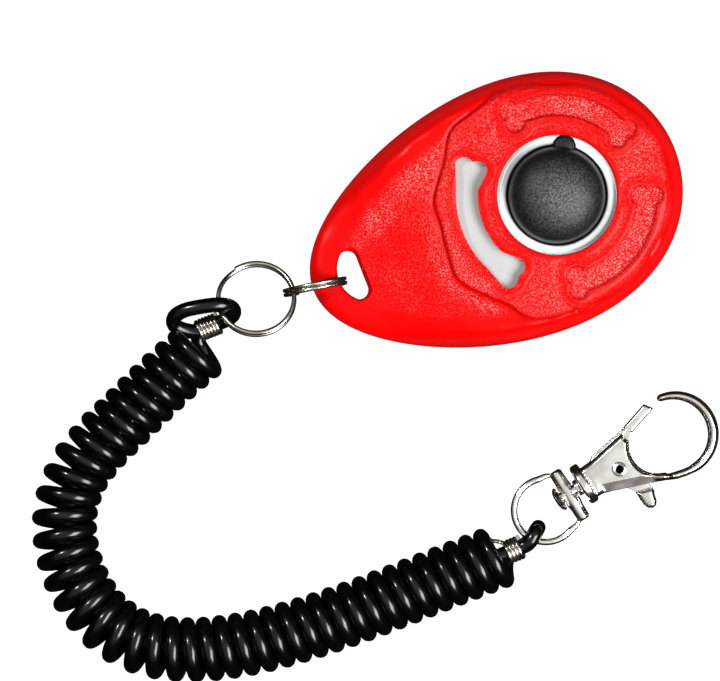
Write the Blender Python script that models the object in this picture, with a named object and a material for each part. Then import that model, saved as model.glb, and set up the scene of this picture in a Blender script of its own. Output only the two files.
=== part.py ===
"""Clicker trainer: a teardrop clicker case on a split-ring link, a coiled wrist cord and a swivel clasp.

Frame: +X from the lanyard end of the case to its round head, +Y across the case, +Z up.
The origin lies on the flat back of the case, half way along the case. All lengths below
are in millimetres and all angles in degrees; add_mesh and add_tube turn them into metres.
"""
import math

import bmesh
import bpy
from mathutils import Matrix, Vector

MM = 0.001
GAP = 0.3                       # clearance between neighbouring pieces

# Case
CASE_HALF_LENGTH = 34.0
CASE_HALF_WIDTH = 22.2
CASE_EGG = 0.194                # how much wider the head is than the tail
CASE_STEPS = 60                 # points round the outline
HEAD_TOP = 13.9
TAIL_TOP = 8.9
TOP_RAMP = (-28.0, -8.0)        # the upper face climbs from tail to head between these
TOP_DOME = 0.5
TAIL_BASE = 2.9
BASE_RAMP = (-14.0, -29.0)      # the back lifts towards the tail between these
TOP_PART = 6.05                 # parting faces of the two covers
BASE_PART = TOP_PART - GAP
TOP_FLANK = 3.6
BASE_FLANK = 4.5
ROOF = 1.6
FLOOR = 1.8
WALL = 2.2
CAVITY_TAIL = -20.0

# Lanyard hole through the tail
HOLE_TIP = -29.15
HOLE_INNER = -25.1
HOLE_TIP_RADIUS = 5.66
HOLE_CORNER = 1.2
HOLE_FLARE = 1.4

# Button and the silver bezel plate
BUTTON_X = 11.8
WINDOW_RADIUS = 10.5
BUTTON_RADIUS = 8.5
BUTTON_CROWN_RADIUS = 8.0
BUTTON_TOP = 20.0
BUTTON_FLANGE_RADIUS = 9.8
BUTTON_TRAVEL = 1.5
EAR_AZIMUTH = 60.0
EAR_REACH = 8.6
EAR_RADIUS = 1.7
EAR_TOP = 13.6
PLATE_RADIUS = 18.6
PLATE_TOP = 12.0
PLATE_THICKNESS = 1.1
BEZEL_RADIUS = 10.2
BEZEL_TOP = 12.9

# Bone-shaped window, laid round the button
BONE_AZIMUTH = 180.0
BONE_RADIUS = 15.7
BONE_SHANK_WIDTH = 3.8
BONE_LOBE_SPREAD = 1.2          # each lobe sits this far in or out of the bone's middle line
BONE_LOBE_RADIUS = 1.7
BONE_LOBE_ANGLE = 38.3

# Click strip and what holds it
STRIP_PIVOT_X = -9.0
STRIP_TAIL = -11.5
STRIP_NOSE = 15.0
STRIP_WIDTH = 9.0
STRIP_CROWN = 0.5
STRIP_THICKNESS = 0.35
STRIP_TOP = 8.8

# Case screws: x, y, the face that the head sits on, the top of the boss and of the screw
CASE_SCREWS = (
    (-17.0, 0.0, 2.2, 10.4, 9.2),
    (21.5, 11.5, 1.9, 12.7, 11.2),
    (21.5, -11.5, 1.9, 12.7, 11.2),
)
BOSS_RADIUS = 2.6
BOSS_SPLIT = 6.3

# Small split ring, through the lanyard hole and round the tip
SMALL_RING_CENTRE = (-33.5, 0.55, 5.9)
SMALL_RING_MID_RADIUS = 5.4
SMALL_RING_WIRE = 0.35
SMALL_RING_YAW = -9.75
SMALL_RING_LEAN = 4.0

# Large split ring
LARGE_RING_CENTRE = (-43.9, 2.35, 5.35)
LARGE_RING_MID_RADIUS = 6.65
LARGE_RING_WIRE = 0.4
LARGE_RING_YAW = -21.5          # direction of the level diameter it tilts about
LARGE_RING_TILT = 24.0
LARGE_RING_SPLIT = 151.0

# Coiled cord
CORD_RADIUS = 1.34
COIL_RADIUS = 5.8
COIL_Z = 5.8
COIL_ROUTE = (
    (-58.6, -3.1), (-63.0, -4.6), (-68.1, -6.7), (-73.0, -8.8), (-78.6, -11.2), (-84.0, -14.4),
    (-88.4, -19.4), (-90.8, -25.6), (-91.3, -32.6), (-89.8, -39.4), (-86.3, -44.9), (-81.6, -48.6),
    (-76.5, -51.0), (-70.6, -52.7), (-64.2, -53.9), (-56.3, -54.7), (-48.1, -55.1), (-40.2, -55.2),
    (-32.2, -55.2), (-23.6, -55.2),
)
RING_EYE_ROUTE = (
    (-52.2, 0.84, 4.9), (-53.8, 0.84, 4.9), (-55.6, 0.84, 4.9), (-57.4, 1.9, 5.3), (-58.9, 3.7, 6.1),
    (-58.3, 5.0, 7.3), (-56.2, 5.4, 8.2), (-53.6, 5.1, 8.7), (-51.1, 4.4, 8.7), (-49.3, 3.6, 8.0),
    (-48.3, 2.5, 6.4), (-48.5, 1.5, 4.5), (-49.5, 0.95, 2.9), (-51.0, 0.84, 2.15), (-52.4, 0.84, 2.1),
    (-54.0, 0.84, 2.1), (-55.6, 0.84, 2.1), (-56.7, 0.0, 2.2), (-57.1, -1.5, 2.6),
)
CLASP_EYE_ROUTE = (
    (-22.4, -58.3, 4.4), (-22.0, -57.0, 3.4), (-21.2, -55.8, 2.6), (-20.1, -55.25, 2.4),
    (-18.6, -55.2, 2.4), (-16.6, -55.2, 2.3), (-15.4, -55.1, 2.1), (-14.3, -54.5, 1.8),
    (-13.1, -53.5, 2.4), (-12.6, -53.1, 4.0), (-13.1, -53.5, 5.6), (-14.3, -54.5, 6.2),
    (-15.4, -55.1, 5.9), (-16.6, -55.2, 5.7), (-18.6, -55.2, 5.6), (-20.7, -55.2, 5.6),
)

# Wound wire ferrules: centre, yaw, half length
RING_FERRULE = ((-53.4, 0.84, 3.5), 0.0, 2.0)
CLASP_FERRULE = ((-18.0, -55.2, 4.0), 0.0, 1.85)
FERRULE_WALL = 0.45
FERRULE_BORE_GAP = 0.12

# Clasp: a frame of its own, s along the swivel axis, t across it, z above the axis
CLASP_ORIGIN = (-2.24, -48.9, 4.0)
CLASP_YAW = 11.0
D_ARC_CENTRE = (-8.26, -0.34)
D_ARC_RADIUS = 5.57
D_WIRE = 0.6
D_BAR = (-4.5, -2.1)            # inner and outer face of the bar that the swivel post goes through
D_BAR_HALF_LENGTH = 5.0
D_BAR_HALF_HEIGHT = 1.3
POST_RADIUS = 0.95
POST_HEAD_RADIUS = 2.2
FLANGE_RADIUS = 3.8
COLLAR_RADIUS = 1.5
LOOP_OUTER = ((18.2, -1.3), 7.5)
LOOP_INNER = ((17.7, -1.1), 6.15)
LOOP_HEEL = ((14.51, -1.2), 4.99)
LOOP_HALF_HEIGHT = 1.5
CHEEK_HALF_HEIGHT = 2.4
SLOT = (3.2, 11.2)              # where the trigger's slot begins and ends
SLOT_HALF_HEIGHT = 1.4
PIN = (6.54, -1.1)
PIN_RADIUS = 0.7
PIN_HEAD_RADIUS = 1.25
TRIGGER_HALF_HEIGHT = 1.1
SPRING_MEAN_RADIUS = 1.2
SPRING_WIRE = 0.15

RED = ("red_plastic", (0.78, 0.008, 0.01), 0.38, 0.0)
BLACK = ("black_plastic", (0.018, 0.018, 0.02), 0.55, 0.0)
CORD = ("black_cord", (0.006, 0.006, 0.006), 0.18, 0.0)
SILVER = ("silver_finish", (0.72, 0.73, 0.74), 0.32, 0.85)
STEEL = ("spring_steel", (0.62, 0.62, 0.60), 0.28, 1.0)
NICKEL = ("nickel_wire", (0.66, 0.63, 0.57), 0.18, 1.0)
CHROME = ("clasp_plating", (0.76, 0.75, 0.73), 0.12, 1.0)
GREY = ("grey_plastic", (0.30, 0.30, 0.31), 0.6, 0.0)


def clear_scene():
    for item in list(bpy.data.objects):
        bpy.data.objects.remove(item, do_unlink=True)


def surface(spec):
    """The material of that name, made the first time it is asked for."""
    name, colour, roughness, metallic = spec
    found = bpy.data.materials.get(name)
    if found:
        return found
    made = bpy.data.materials.new(name)
    made.use_nodes = True
    shader = made.node_tree.nodes["Principled BSDF"]
    shader.inputs["Base Color"].default_value = (*colour, 1.0)
    shader.inputs["Roughness"].default_value = roughness
    shader.inputs["Metallic"].default_value = metallic
    return made


def add_mesh(name, points, faces, finish=None):
    """A closed mesh object from points in millimetres, its faces turned outwards."""
    mesh = bpy.data.meshes.new(name)
    mesh.from_pydata([Vector(p) * MM for p in points], [], faces)
    bm = bmesh.new()
    bm.from_mesh(mesh)
    bmesh.ops.recalc_face_normals(bm, faces=bm.faces)
    bm.to_mesh(mesh)
    bm.free()
    mesh.shade_smooth()
    mesh.set_sharp_from_angle(angle=math.radians(35))
    made = bpy.data.objects.new(name, mesh)
    bpy.context.scene.collection.objects.link(made)
    if finish:
        mesh.materials.append(surface(finish))
    return made


def as_cutter(made):
    """Marks an object as a construction shape that only shapes other pieces."""
    made.hide_render = True
    made.display_type = "WIRE"
    return made


def combine(piece, tool, operation="DIFFERENCE"):
    modifier = piece.modifiers.new(operation.lower() + "_" + tool.name, "BOOLEAN")
    modifier.operation = operation
    modifier.solver = "EXACT"
    modifier.object = as_cutter(tool)


def loft(rings):
    """Points and faces of a closed skin through rings of equal count, with flat end caps."""
    count = len(rings[0])
    points = [p for ring in rings for p in ring]
    faces = [tuple(reversed(range(count)))]
    for low in range(0, count * (len(rings) - 1), count):
        for i in range(count):
            j = (i + 1) % count
            faces.append((low + i, low + j, low + count + j, low + count + i))
    last = count * (len(rings) - 1)
    faces.append(tuple(range(last, last + count)))
    return points, faces


def prism(outline, low, high):
    return loft([[(x, y, z) for x, y in outline] for z in (low, high)])


def arc(centre, radius, start, end, steps):
    """Points along an arc, both ends included."""
    turns = [math.radians(start + (end - start) * i / steps) for i in range(steps + 1)]
    return [(centre[0] + radius * math.cos(a), centre[1] + radius * math.sin(a)) for a in turns]


def turned(profile, steps):
    """A solid of revolution about Z from an open profile of (radius, z) that starts and ends on the axis."""
    rim = profile[1:-1]
    points = [(r * math.cos(a), r * math.sin(a), z)
              for r, z in rim for a in (2 * math.pi * i / steps for i in range(steps))]
    points += [(0.0, 0.0, profile[0][1]), (0.0, 0.0, profile[-1][1])]
    first, last = len(points) - 2, len(points) - 1
    top = steps * (len(rim) - 1)
    faces = []
    for i in range(steps):
        j = (i + 1) % steps
        faces.append((first, j, i))
        faces.append((last, top + i, top + j))
        for low in range(0, top, steps):
            faces.append((low + i, low + j, low + steps + j, low + steps + i))
    return points, faces


def moved(points, matrix):
    return [tuple(matrix @ Vector(p)) for p in points]


def cylinder(centre, radius, low, high, steps=24):
    """An upright cylinder."""
    outline = arc(centre, radius, 0.0, 360.0 * (steps - 1) / steps, steps - 1)
    return prism(outline, low, high)


def smooth_route(route, step):
    """Points about step apart on a smooth curve through the route's own points."""
    knots = [Vector(p) for p in route]
    ends = [2 * knots[0] - knots[1], *knots, 2 * knots[-1] - knots[-2]]
    points = []
    for before, a, b, after in zip(ends, ends[1:], ends[2:], ends[3:]):
        count = max(1, round((b - a).length / step))
        for i in range(count):
            u = i / count
            points.append(0.5 * (2 * a + (b - before) * u + (2 * before - 5 * a + 4 * b - after) * u ** 2
                                 + (3 * a - before - 3 * b + after) * u ** 3))
    return points + [knots[-1]]


def add_tube(name, points, radius, finish, resolution=2):
    """A round tube as a bevelled curve with closed ends."""
    curve = bpy.data.curves.new(name, "CURVE")
    curve.dimensions = "3D"
    curve.bevel_depth = radius * MM
    curve.bevel_resolution = resolution
    curve.use_fill_caps = True
    spline = curve.splines.new("POLY")
    spline.points.add(len(points) - 1)
    for slot, point in zip(spline.points, points):
        slot.co = (*(Vector(point) * MM), 1.0)
    made = bpy.data.objects.new(name, curve)
    bpy.context.scene.collection.objects.link(made)
    curve.materials.append(surface(finish))
    return made


def tube_mesh(points, radius, sides):
    """Points and faces of a tube swept along a path without twisting."""
    path = [Vector(p) for p in points]
    aim = (path[1] - path[0]).normalized()
    side = aim.orthogonal().normalized()
    rings = []
    for i, point in enumerate(path):
        ahead = path[min(i + 1, len(path) - 1)] - path[max(i - 1, 0)]
        side = (side - ahead.normalized() * side.dot(ahead.normalized())).normalized()
        up = ahead.normalized().cross(side)
        turns = [2 * math.pi * k / sides for k in range(sides)]
        rings.append([tuple(point + radius * (math.cos(a) * side + math.sin(a) * up)) for a in turns])
    return loft(rings)


# ---------------------------------------------------------------- case

def smoothstep(value):
    value = min(max(value, 0.0), 1.0)
    return value * value * (3 - 2 * value)


def outline_point(turn, inset):
    """A point of the case outline, moved inwards by inset."""
    c, s = math.cos(turn), math.sin(turn)
    x = CASE_HALF_LENGTH * c
    y = CASE_HALF_WIDTH * s * (1 + CASE_EGG * c)
    run = Vector((-CASE_HALF_LENGTH * s, CASE_HALF_WIDTH * (c * (1 + CASE_EGG * c) - CASE_EGG * s * s)))
    run.normalize()
    return x - run.y * inset, y + run.x * inset


def outline_ring(inset, height, share=1.0, tail=-100.0):
    """A ring of the case outline: inset, cut off at tail, then drawn in towards the button by share."""
    ring = []
    for i in range(CASE_STEPS):
        x, y = outline_point(2 * math.pi * (i + 0.5) / CASE_STEPS, inset)
        x = BUTTON_X + (max(x, tail) - BUTTON_X) * share
        y = y * share
        ring.append((x, y, height(x, y)))
    return ring


def top_height(x, y):
    """Height of the case's upper face."""
    climb = smoothstep((x - TOP_RAMP[0]) / (TOP_RAMP[1] - TOP_RAMP[0]))
    reach = math.hypot(x - BUTTON_X, y) / 20.0
    return TAIL_TOP + (HEAD_TOP - TAIL_TOP) * climb + TOP_DOME * max(0.0, 1 - reach * reach)


def base_height(x, y):
    """Height of the case's back."""
    return TAIL_BASE * smoothstep((BASE_RAMP[0] - x) / (BASE_RAMP[0] - BASE_RAMP[1]))


def flank_rings(part, shoulder, flank, face, steps=5):
    """Rings from the parting face round the case's edge to its upper or lower face."""
    rings = [outline_ring(0.0, lambda x, y: part)]
    for i in range(steps + 1):
        bend = math.pi / 2 * i / steps
        lift = math.sin(bend)
        rings.append(outline_ring(flank * (1 - math.cos(bend)),
                                  lambda x, y, lift=lift: shoulder + (face(x, y) - shoulder) * lift))
    return rings


def lanyard_hole(name, low, high):
    """Cutter for the D-shaped lanyard hole, flared where it meets the outside."""
    half = 49.0
    tip = arc((HOLE_TIP + HOLE_TIP_RADIUS, 0.0), HOLE_TIP_RADIUS, 180 - half, 180 + half, 10)
    corner = arc((HOLE_INNER - HOLE_CORNER, 3.2), HOLE_CORNER, 0.0, 110.0, 4)
    shape = tip + [(x, -y) for x, y in reversed(corner)] + corner
    middle = (HOLE_TIP + HOLE_INNER) / 2
    half_width = (HOLE_INNER - HOLE_TIP) / 2

    def ring(grow, z):
        return [(middle + (x - middle) * (1 + grow / half_width), y * (1 + grow / 4.4), z) for x, y in shape]

    flare = 1.35 * HOLE_FLARE
    return add_mesh(name, *loft([ring(flare, low - 0.6), ring(0.0, low + 1.8),
                                 ring(0.0, high - 1.8), ring(flare, high + 0.6)]))


def cut_bone_window(cover):
    """Cuts the bone: a curved shank with two round lobes at each end."""
    half = BONE_SHANK_WIDTH / 2
    start, end = BONE_AZIMUTH - BONE_LOBE_ANGLE, BONE_AZIMUTH + BONE_LOBE_ANGLE
    centre = (BUTTON_X, 0.0)
    shank = (arc(centre, BONE_RADIUS + half, start, end, 16)
             + arc(centre, BONE_RADIUS - half, end, start, 16))
    combine(cover, add_mesh("bone_shank_cut", *prism(shank, 9.0, 17.0)))
    for azimuth in (start, end):
        for spread in (-BONE_LOBE_SPREAD, BONE_LOBE_SPREAD):
            spot = arc(centre, BONE_RADIUS + spread, azimuth, azimuth, 1)[0]
            lobe = add_mesh("bone_lobe_cut", *cylinder(spot, BONE_LOBE_RADIUS, 9.0, 17.0, 14))
            combine(cover, lobe)


def make_top_cover():
    rings = flank_rings(TOP_PART, TOP_PART + 0.35, TOP_FLANK, top_height)
    rings += [outline_ring(TOP_FLANK, top_height, share) for share in (0.85, 0.7, 0.5, 0.3)]
    cover = add_mesh("top_cover", *loft(rings), RED)

    def roof(x, y):
        return top_height(x, y) - ROOF

    start = TOP_PART - 1.0
    hollow = [outline_ring(WALL + inset, lambda x, y, f=f: start + (roof(x, y) - start) * f, tail=CAVITY_TAIL)
              for f, inset in ((0.0, 0.0), (0.9, 0.1), (1.0, 0.4))]
    hollow += [outline_ring(WALL + 0.4, roof, share, CAVITY_TAIL) for share in (0.85, 0.6, 0.3)]
    combine(cover, add_mesh("top_cavity_cut", *loft(hollow)))
    for number, (x, y, seat, boss_top, screw_top) in enumerate(CASE_SCREWS, 1):
        boss = add_mesh(f"top_boss_{number}", *cylinder((x, y), BOSS_RADIUS, BOSS_SPLIT + GAP, boss_top, 18))
        combine(cover, boss, "UNION")
        bore = add_mesh(f"top_bore_{number}", *cylinder((x, y), 1.3, 5.0, screw_top + 0.5, 14))
        combine(cover, bore)
    combine(cover, add_mesh("window_cut", *cylinder((BUTTON_X, 0.0), WINDOW_RADIUS, 9.0, 17.0, 40)))
    cut_bone_window(cover)
    combine(cover, lanyard_hole("top_lanyard_cut", TAIL_BASE, TAIL_TOP))
    return cover


def make_bottom_cover():
    rings = flank_rings(BASE_PART, BASE_PART - 0.35, BASE_FLANK, base_height)
    rings += [outline_ring(BASE_FLANK, base_height, share) for share in (0.8, 0.55)]
    cover = add_mesh("bottom_cover", *loft(rings), RED)

    def floor(x, y):
        return base_height(x, y) + FLOOR

    start = BASE_PART + 1.0
    hollow = [outline_ring(WALL + inset, lambda x, y, f=f: start + (floor(x, y) - start) * f, tail=CAVITY_TAIL)
              for f, inset in ((0.0, 0.0), (0.7, 0.4), (1.0, 2.0))]
    hollow += [outline_ring(WALL + 2.0, floor, share, CAVITY_TAIL) for share in (0.86, 0.6)]
    combine(cover, add_mesh("bottom_cavity_cut", *loft(hollow)))
    for number, (x, y, seat, boss_top, screw_top) in enumerate(CASE_SCREWS, 1):
        boss = add_mesh(f"bottom_boss_{number}", *cylinder((x, y), BOSS_RADIUS, seat - 0.6, BOSS_SPLIT, 18))
        combine(cover, boss, "UNION")
        bore = add_mesh(f"bottom_bore_{number}", *cylinder((x, y), 1.3, -1.0, 8.0, 14))
        combine(cover, bore)
        recess = add_mesh(f"screw_recess_{number}", *cylinder((x, y), 2.5, -1.0, seat, 18))
        combine(cover, recess)
    combine(cover, lanyard_hole("bottom_lanyard_cut", TAIL_BASE, TAIL_TOP))
    return cover


def make_bezel_plate():
    """The silver plate under the top cover, with the raised ring that shows round the button."""
    low = PLATE_TOP - PLATE_THICKNESS
    profile = [(0, low), (PLATE_RADIUS, low), (PLATE_RADIUS, PLATE_TOP), (BEZEL_RADIUS, PLATE_TOP),
               (BEZEL_RADIUS, BEZEL_TOP), (0, BEZEL_TOP)]
    points, faces = turned(profile, 40)
    plate = add_mesh("bezel_plate", moved(points, Matrix.Translation((BUTTON_X, 0, 0))), faces, SILVER)
    bore = cylinder((BUTTON_X, 0.0), BUTTON_RADIUS + GAP + 0.05, low - 1, BEZEL_TOP + 1, 38)
    combine(plate, add_mesh("bezel_bore_cut", *bore))
    ear = arc((BUTTON_X, 0.0), EAR_REACH, EAR_AZIMUTH, EAR_AZIMUTH, 1)[0]
    notch = cylinder(ear, EAR_RADIUS + GAP + 0.05, low - 1, BEZEL_TOP + 1, 20)
    combine(plate, add_mesh("ear_notch_cut", *notch))
    for number, (x, y, *rest) in enumerate(CASE_SCREWS[1:], 2):
        hole = cylinder((x, y), BOSS_RADIUS + GAP, low - 1, PLATE_TOP + 1, 18)
        combine(plate, add_mesh(f"plate_boss_cut_{number}", *hole))
    return plate


def make_button():
    """A hollow push button: a flange that keeps it in, a plunger inside and an ear that keys it."""
    flange_top = PLATE_TOP - PLATE_THICKNESS - GAP
    flange_low = flange_top - 0.85
    roof = BUTTON_TOP - 2.6
    profile = [(0, STRIP_TOP + GAP), (1.9, STRIP_TOP + GAP), (1.9, roof), (7.2, roof), (7.2, flange_low),
               (BUTTON_FLANGE_RADIUS, flange_low), (BUTTON_FLANGE_RADIUS, flange_top),
               (BUTTON_RADIUS, flange_top), (BUTTON_RADIUS, 13.2), (BUTTON_CROWN_RADIUS, 18.4),
               (BUTTON_CROWN_RADIUS - 0.35, 19.1), (BUTTON_CROWN_RADIUS - 1.2, 19.55), (4.5, 19.88),
               (0, BUTTON_TOP)]
    points, faces = turned(profile, 32)
    button = add_mesh("button", moved(points, Matrix.Translation((BUTTON_X, 0, 0))), faces, BLACK)
    ear = arc((BUTTON_X, 0.0), EAR_REACH, EAR_AZIMUTH, EAR_AZIMUTH, 1)[0]
    knob = add_mesh("button_ear", *cylinder(ear, EAR_RADIUS, flange_low + 0.3, EAR_TOP, 16))
    combine(button, knob, "UNION")
    return button


def make_click_strip():
    """The crowned spring-steel strip that snaps when it is bent."""
    steps = 6
    spots = [-STRIP_WIDTH / 2 + STRIP_WIDTH * i / steps for i in range(steps + 1)]

    def crown(y):
        return STRIP_TOP - STRIP_CROWN * (2 * y / STRIP_WIDTH) ** 2

    section = [(y, crown(y)) for y in spots] + [(y, crown(y) - STRIP_THICKNESS) for y in reversed(spots)]
    rings = [[(x, y, z) for y, z in section] for x in (STRIP_TAIL, STRIP_NOSE)]
    strip = add_mesh("click_strip", *loft(rings), STEEL)
    hole = cylinder((STRIP_PIVOT_X, 0.0), 1.3, 6.0, 10.0, 14)
    combine(strip, add_mesh("strip_hole_cut", *hole))
    return strip


def make_strip_holder():
    top = STRIP_TOP - STRIP_CROWN - STRIP_THICKNESS - GAP
    outline = [(-12.6, -5.2), (-5.6, -5.2), (-5.6, 5.2), (-12.6, 5.2)]
    holder = add_mesh("strip_holder", *prism(outline, FLOOR + GAP, top), GREY)
    bore = cylinder((STRIP_PIVOT_X, 0.0), 1.3, 3.6, 10.0, 14)
    combine(holder, add_mesh("holder_bore_cut", *bore))
    return holder


def make_screw(name, x, y, head_radius, head_low, head_high, shank_radius, shank_end):
    """A pan-head screw; its shank runs from the head to shank_end, above or below it."""
    if shank_end > head_high:
        profile = [(0, head_low), (head_radius * 0.8, head_low), (head_radius, head_low + 0.3),
                   (head_radius, head_high), (shank_radius, head_high), (shank_radius, shank_end - 0.5),
                   (shank_radius * 0.4, shank_end), (0, shank_end)]
    else:
        profile = [(0, shank_end), (shank_radius * 0.4, shank_end), (shank_radius, shank_end + 0.5),
                   (shank_radius, head_low), (head_radius, head_low), (head_radius, head_high - 0.3),
                   (head_radius * 0.8, head_high), (0, head_high)]
    points, faces = turned(profile, 14)
    return add_mesh(name, moved(points, Matrix.Translation((x, y, 0))), faces, STEEL)


def make_case():
    pieces = [make_top_cover(), make_bottom_cover(), make_bezel_plate(), make_strip_holder()]
    pieces.append(make_screw("strip_screw", STRIP_PIVOT_X, 0.0, 2.4, STRIP_TOP + GAP, STRIP_TOP + 1.5, 0.95, 4.2))
    for number, (x, y, seat, boss_top, screw_top) in enumerate(CASE_SCREWS, 1):
        pieces.append(make_screw(f"case_screw_{number}", x, y, 2.1, seat - 1.5, seat - GAP, 1.0, screw_top))
    return pieces


# ---------------------------------------------------------------- rings

def split_ring_path(centre, level, rise, mid_radius, wire, split):
    """Centre line of a two-turn split ring that steps from one layer to the other at the split."""
    normal = level.cross(rise)
    layer = 1.12 * wire
    start, end, steps = split + 27.0, split + 693.0, 60
    points = []
    for i in range(steps + 1):
        turn = start + (end - start) * i / steps
        climb = smoothstep((turn - split - 335.0) / 50.0)
        a = math.radians(turn)
        points.append(Vector(centre) + mid_radius * (math.cos(a) * level + math.sin(a) * rise)
                      + normal * layer * (2 * climb - 1))
    return points


def ring_axes(yaw, tilt):
    """The level direction at yaw, and the direction across it that leans down by tilt."""
    a, b = math.radians(yaw), math.radians(tilt)
    level = Vector((math.cos(a), math.sin(a), 0.0))
    rise = Vector((-math.sin(a) * math.cos(b), math.cos(a) * math.cos(b), -math.sin(b)))
    return level, rise


def make_small_ring():
    level, rise = ring_axes(SMALL_RING_YAW, 90.0 - SMALL_RING_LEAN)
    path = split_ring_path(SMALL_RING_CENTRE, level, rise, SMALL_RING_MID_RADIUS, SMALL_RING_WIRE, 100.0)
    return add_tube("small_split_ring", path, SMALL_RING_WIRE, NICKEL)


def make_large_ring():
    level, rise = ring_axes(LARGE_RING_YAW, LARGE_RING_TILT)
    path = split_ring_path(LARGE_RING_CENTRE, level, rise, LARGE_RING_MID_RADIUS, LARGE_RING_WIRE,
                           LARGE_RING_SPLIT)
    return add_tube("large_split_ring", path, LARGE_RING_WIRE, NICKEL)


# ---------------------------------------------------------------- cord

def make_ferrule(name, spec, strand_half_spacing):
    """An oval sleeve of wound wire round the two strands of a cord eye."""
    centre, yaw, half_length = spec
    bore = CORD_RADIUS + FERRULE_BORE_GAP

    def oval(radius, x):
        half = arc((0.0, strand_half_spacing), radius, 0.0, 180.0, 8)
        loop = half + [(-y, -z) for y, z in half]
        return [(x, y, z) for y, z in loop]

    place = Matrix.Translation(centre) @ Matrix.Rotation(math.radians(yaw), 4, "Z")
    rings = [oval(bore + FERRULE_WALL - 0.12, -half_length), oval(bore + FERRULE_WALL, -half_length + 0.25),
             oval(bore + FERRULE_WALL, half_length - 0.25), oval(bore + FERRULE_WALL - 0.12, half_length)]
    points, faces = loft(rings)
    sleeve = add_mesh(name, moved(points, place), faces, NICKEL)
    points, faces = loft([oval(bore, -half_length - 1), oval(bore, half_length + 1)])
    combine(sleeve, add_mesh(name + "_bore_cut", moved(points, place), faces))
    return sleeve


def make_lanyard():
    coil = add_tube("coil_cord", smooth_route([(x, y, COIL_Z) for x, y in COIL_ROUTE], 4.0),
                    COIL_RADIUS, CORD, 4)
    ring_eye = add_tube("ring_end_eye", smooth_route(RING_EYE_ROUTE, 1.3), CORD_RADIUS, CORD)
    clasp_eye = add_tube("clasp_end_eye", smooth_route(CLASP_EYE_ROUTE, 1.3), CORD_RADIUS, CORD)
    return [coil, ring_eye, clasp_eye,
            make_ferrule("ring_end_ferrule", RING_FERRULE, 1.4),
            make_ferrule("clasp_end_ferrule", CLASP_FERRULE, 1.65)]


# ---------------------------------------------------------------- clasp

def clasp_frame():
    return Matrix.Translation(CLASP_ORIGIN) @ Matrix.Rotation(math.radians(CLASP_YAW), 4, "Z")


def clasp_mesh(name, shape, finish=None):
    points, faces = shape
    return add_mesh(name, moved(points, clasp_frame()), faces, finish)


def along_axis(shape):
    """Lays a shape turned about Z along the swivel axis."""
    points, faces = shape
    return moved(points, Matrix.Rotation(math.radians(90), 4, "Y")), faces


def make_d_ring():
    """The swivel eye: a bar with a bore for the post, and a round bow."""
    inner, outer = D_BAR
    t0 = D_ARC_CENTRE[1]
    middle = (inner + outer) / 2
    half = D_BAR_HALF_LENGTH
    height = D_BAR_HALF_HEIGHT
    chamfer = 0.45
    section = [(inner, -height + chamfer), (inner + chamfer, -height), (outer - chamfer, -height),
               (outer, -height + chamfer), (outer, height - chamfer), (outer - chamfer, height),
               (inner + chamfer, height), (inner, height - chamfer)]
    rings = []
    for t, share in ((-half, 0.6), (-half + 0.7, 1.0), (half - 0.7, 1.0), (half, 0.6)):
        rings.append([(middle + (s - middle) * share, t0 + t, z * share) for s, z in section])
    bar = clasp_mesh("d_ring", loft(rings), CHROME)
    bow = [(middle, t0 + half - 0.9), (-5.6, t0 + 5.2)]
    bow += arc(D_ARC_CENTRE, D_ARC_RADIUS, 78.0, 282.0, 20)
    bow += [(-5.6, t0 - 5.2), (middle, t0 - half + 0.9)]
    wire = clasp_mesh("d_bow", tube_mesh([(s, t, 0.0) for s, t in bow], D_WIRE, 8))
    combine(bar, wire, "UNION")
    bore = turned([(0, inner - 1), (POST_RADIUS + GAP, inner - 1), (POST_RADIUS + GAP, outer + 1), (0, outer + 1)], 16)
    combine(bar, clasp_mesh("d_bore_cut", along_axis(bore)))
    return bar


def make_swivel_post():
    """The rivet that the D-ring turns on, with a domed head inside the bow."""
    head_face = D_BAR[0] - GAP
    profile = [(0, head_face - 1.15), (1.2, head_face - 1.1), (POST_HEAD_RADIUS - 0.25, head_face - 0.8),
               (POST_HEAD_RADIUS, head_face - 0.45), (POST_HEAD_RADIUS - 0.1, head_face),
               (POST_RADIUS, head_face), (POST_RADIUS, 1.3), (0, 1.3)]
    return clasp_mesh("swivel_post", along_axis(turned(profile, 18)), CHROME)


def hook_outline():
    """The hook seen from above: nose, outer bow, straight back, flange end, front edge and inner bow."""
    (outer, outer_radius), (inner, inner_radius), (heel, heel_radius) = LOOP_OUTER, LOOP_INNER, LOOP_HEEL
    shape = arc(outer, outer_radius, 93.0, -98.0, 26)
    shape += [(9.98, -6.4), (1.9, -3.4), (0.4, -3.3), (0.4, 2.75), (2.9, 2.85), (10.2, 4.0), (11.0, 3.2)]
    shape += arc(heel, heel_radius, 140.0, 246.0, 9)
    shape += arc(inner, inner_radius, 243.0, 440.0, 24)
    return shape


def cheek_outline():
    """The thicker part of the hook that the trigger turns in."""
    heel, heel_radius = LOOP_HEEL
    shape = [(0.5, -3.1), (2.0, -3.2), (9.9, -6.15), (12.6, -7.2), (13.6, -7.0)]
    shape += arc(heel, heel_radius + 0.15, 250.0, 142.0, 9)
    return shape + [(10.1, 3.8), (3.0, 2.65), (0.5, 2.55)]


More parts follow.
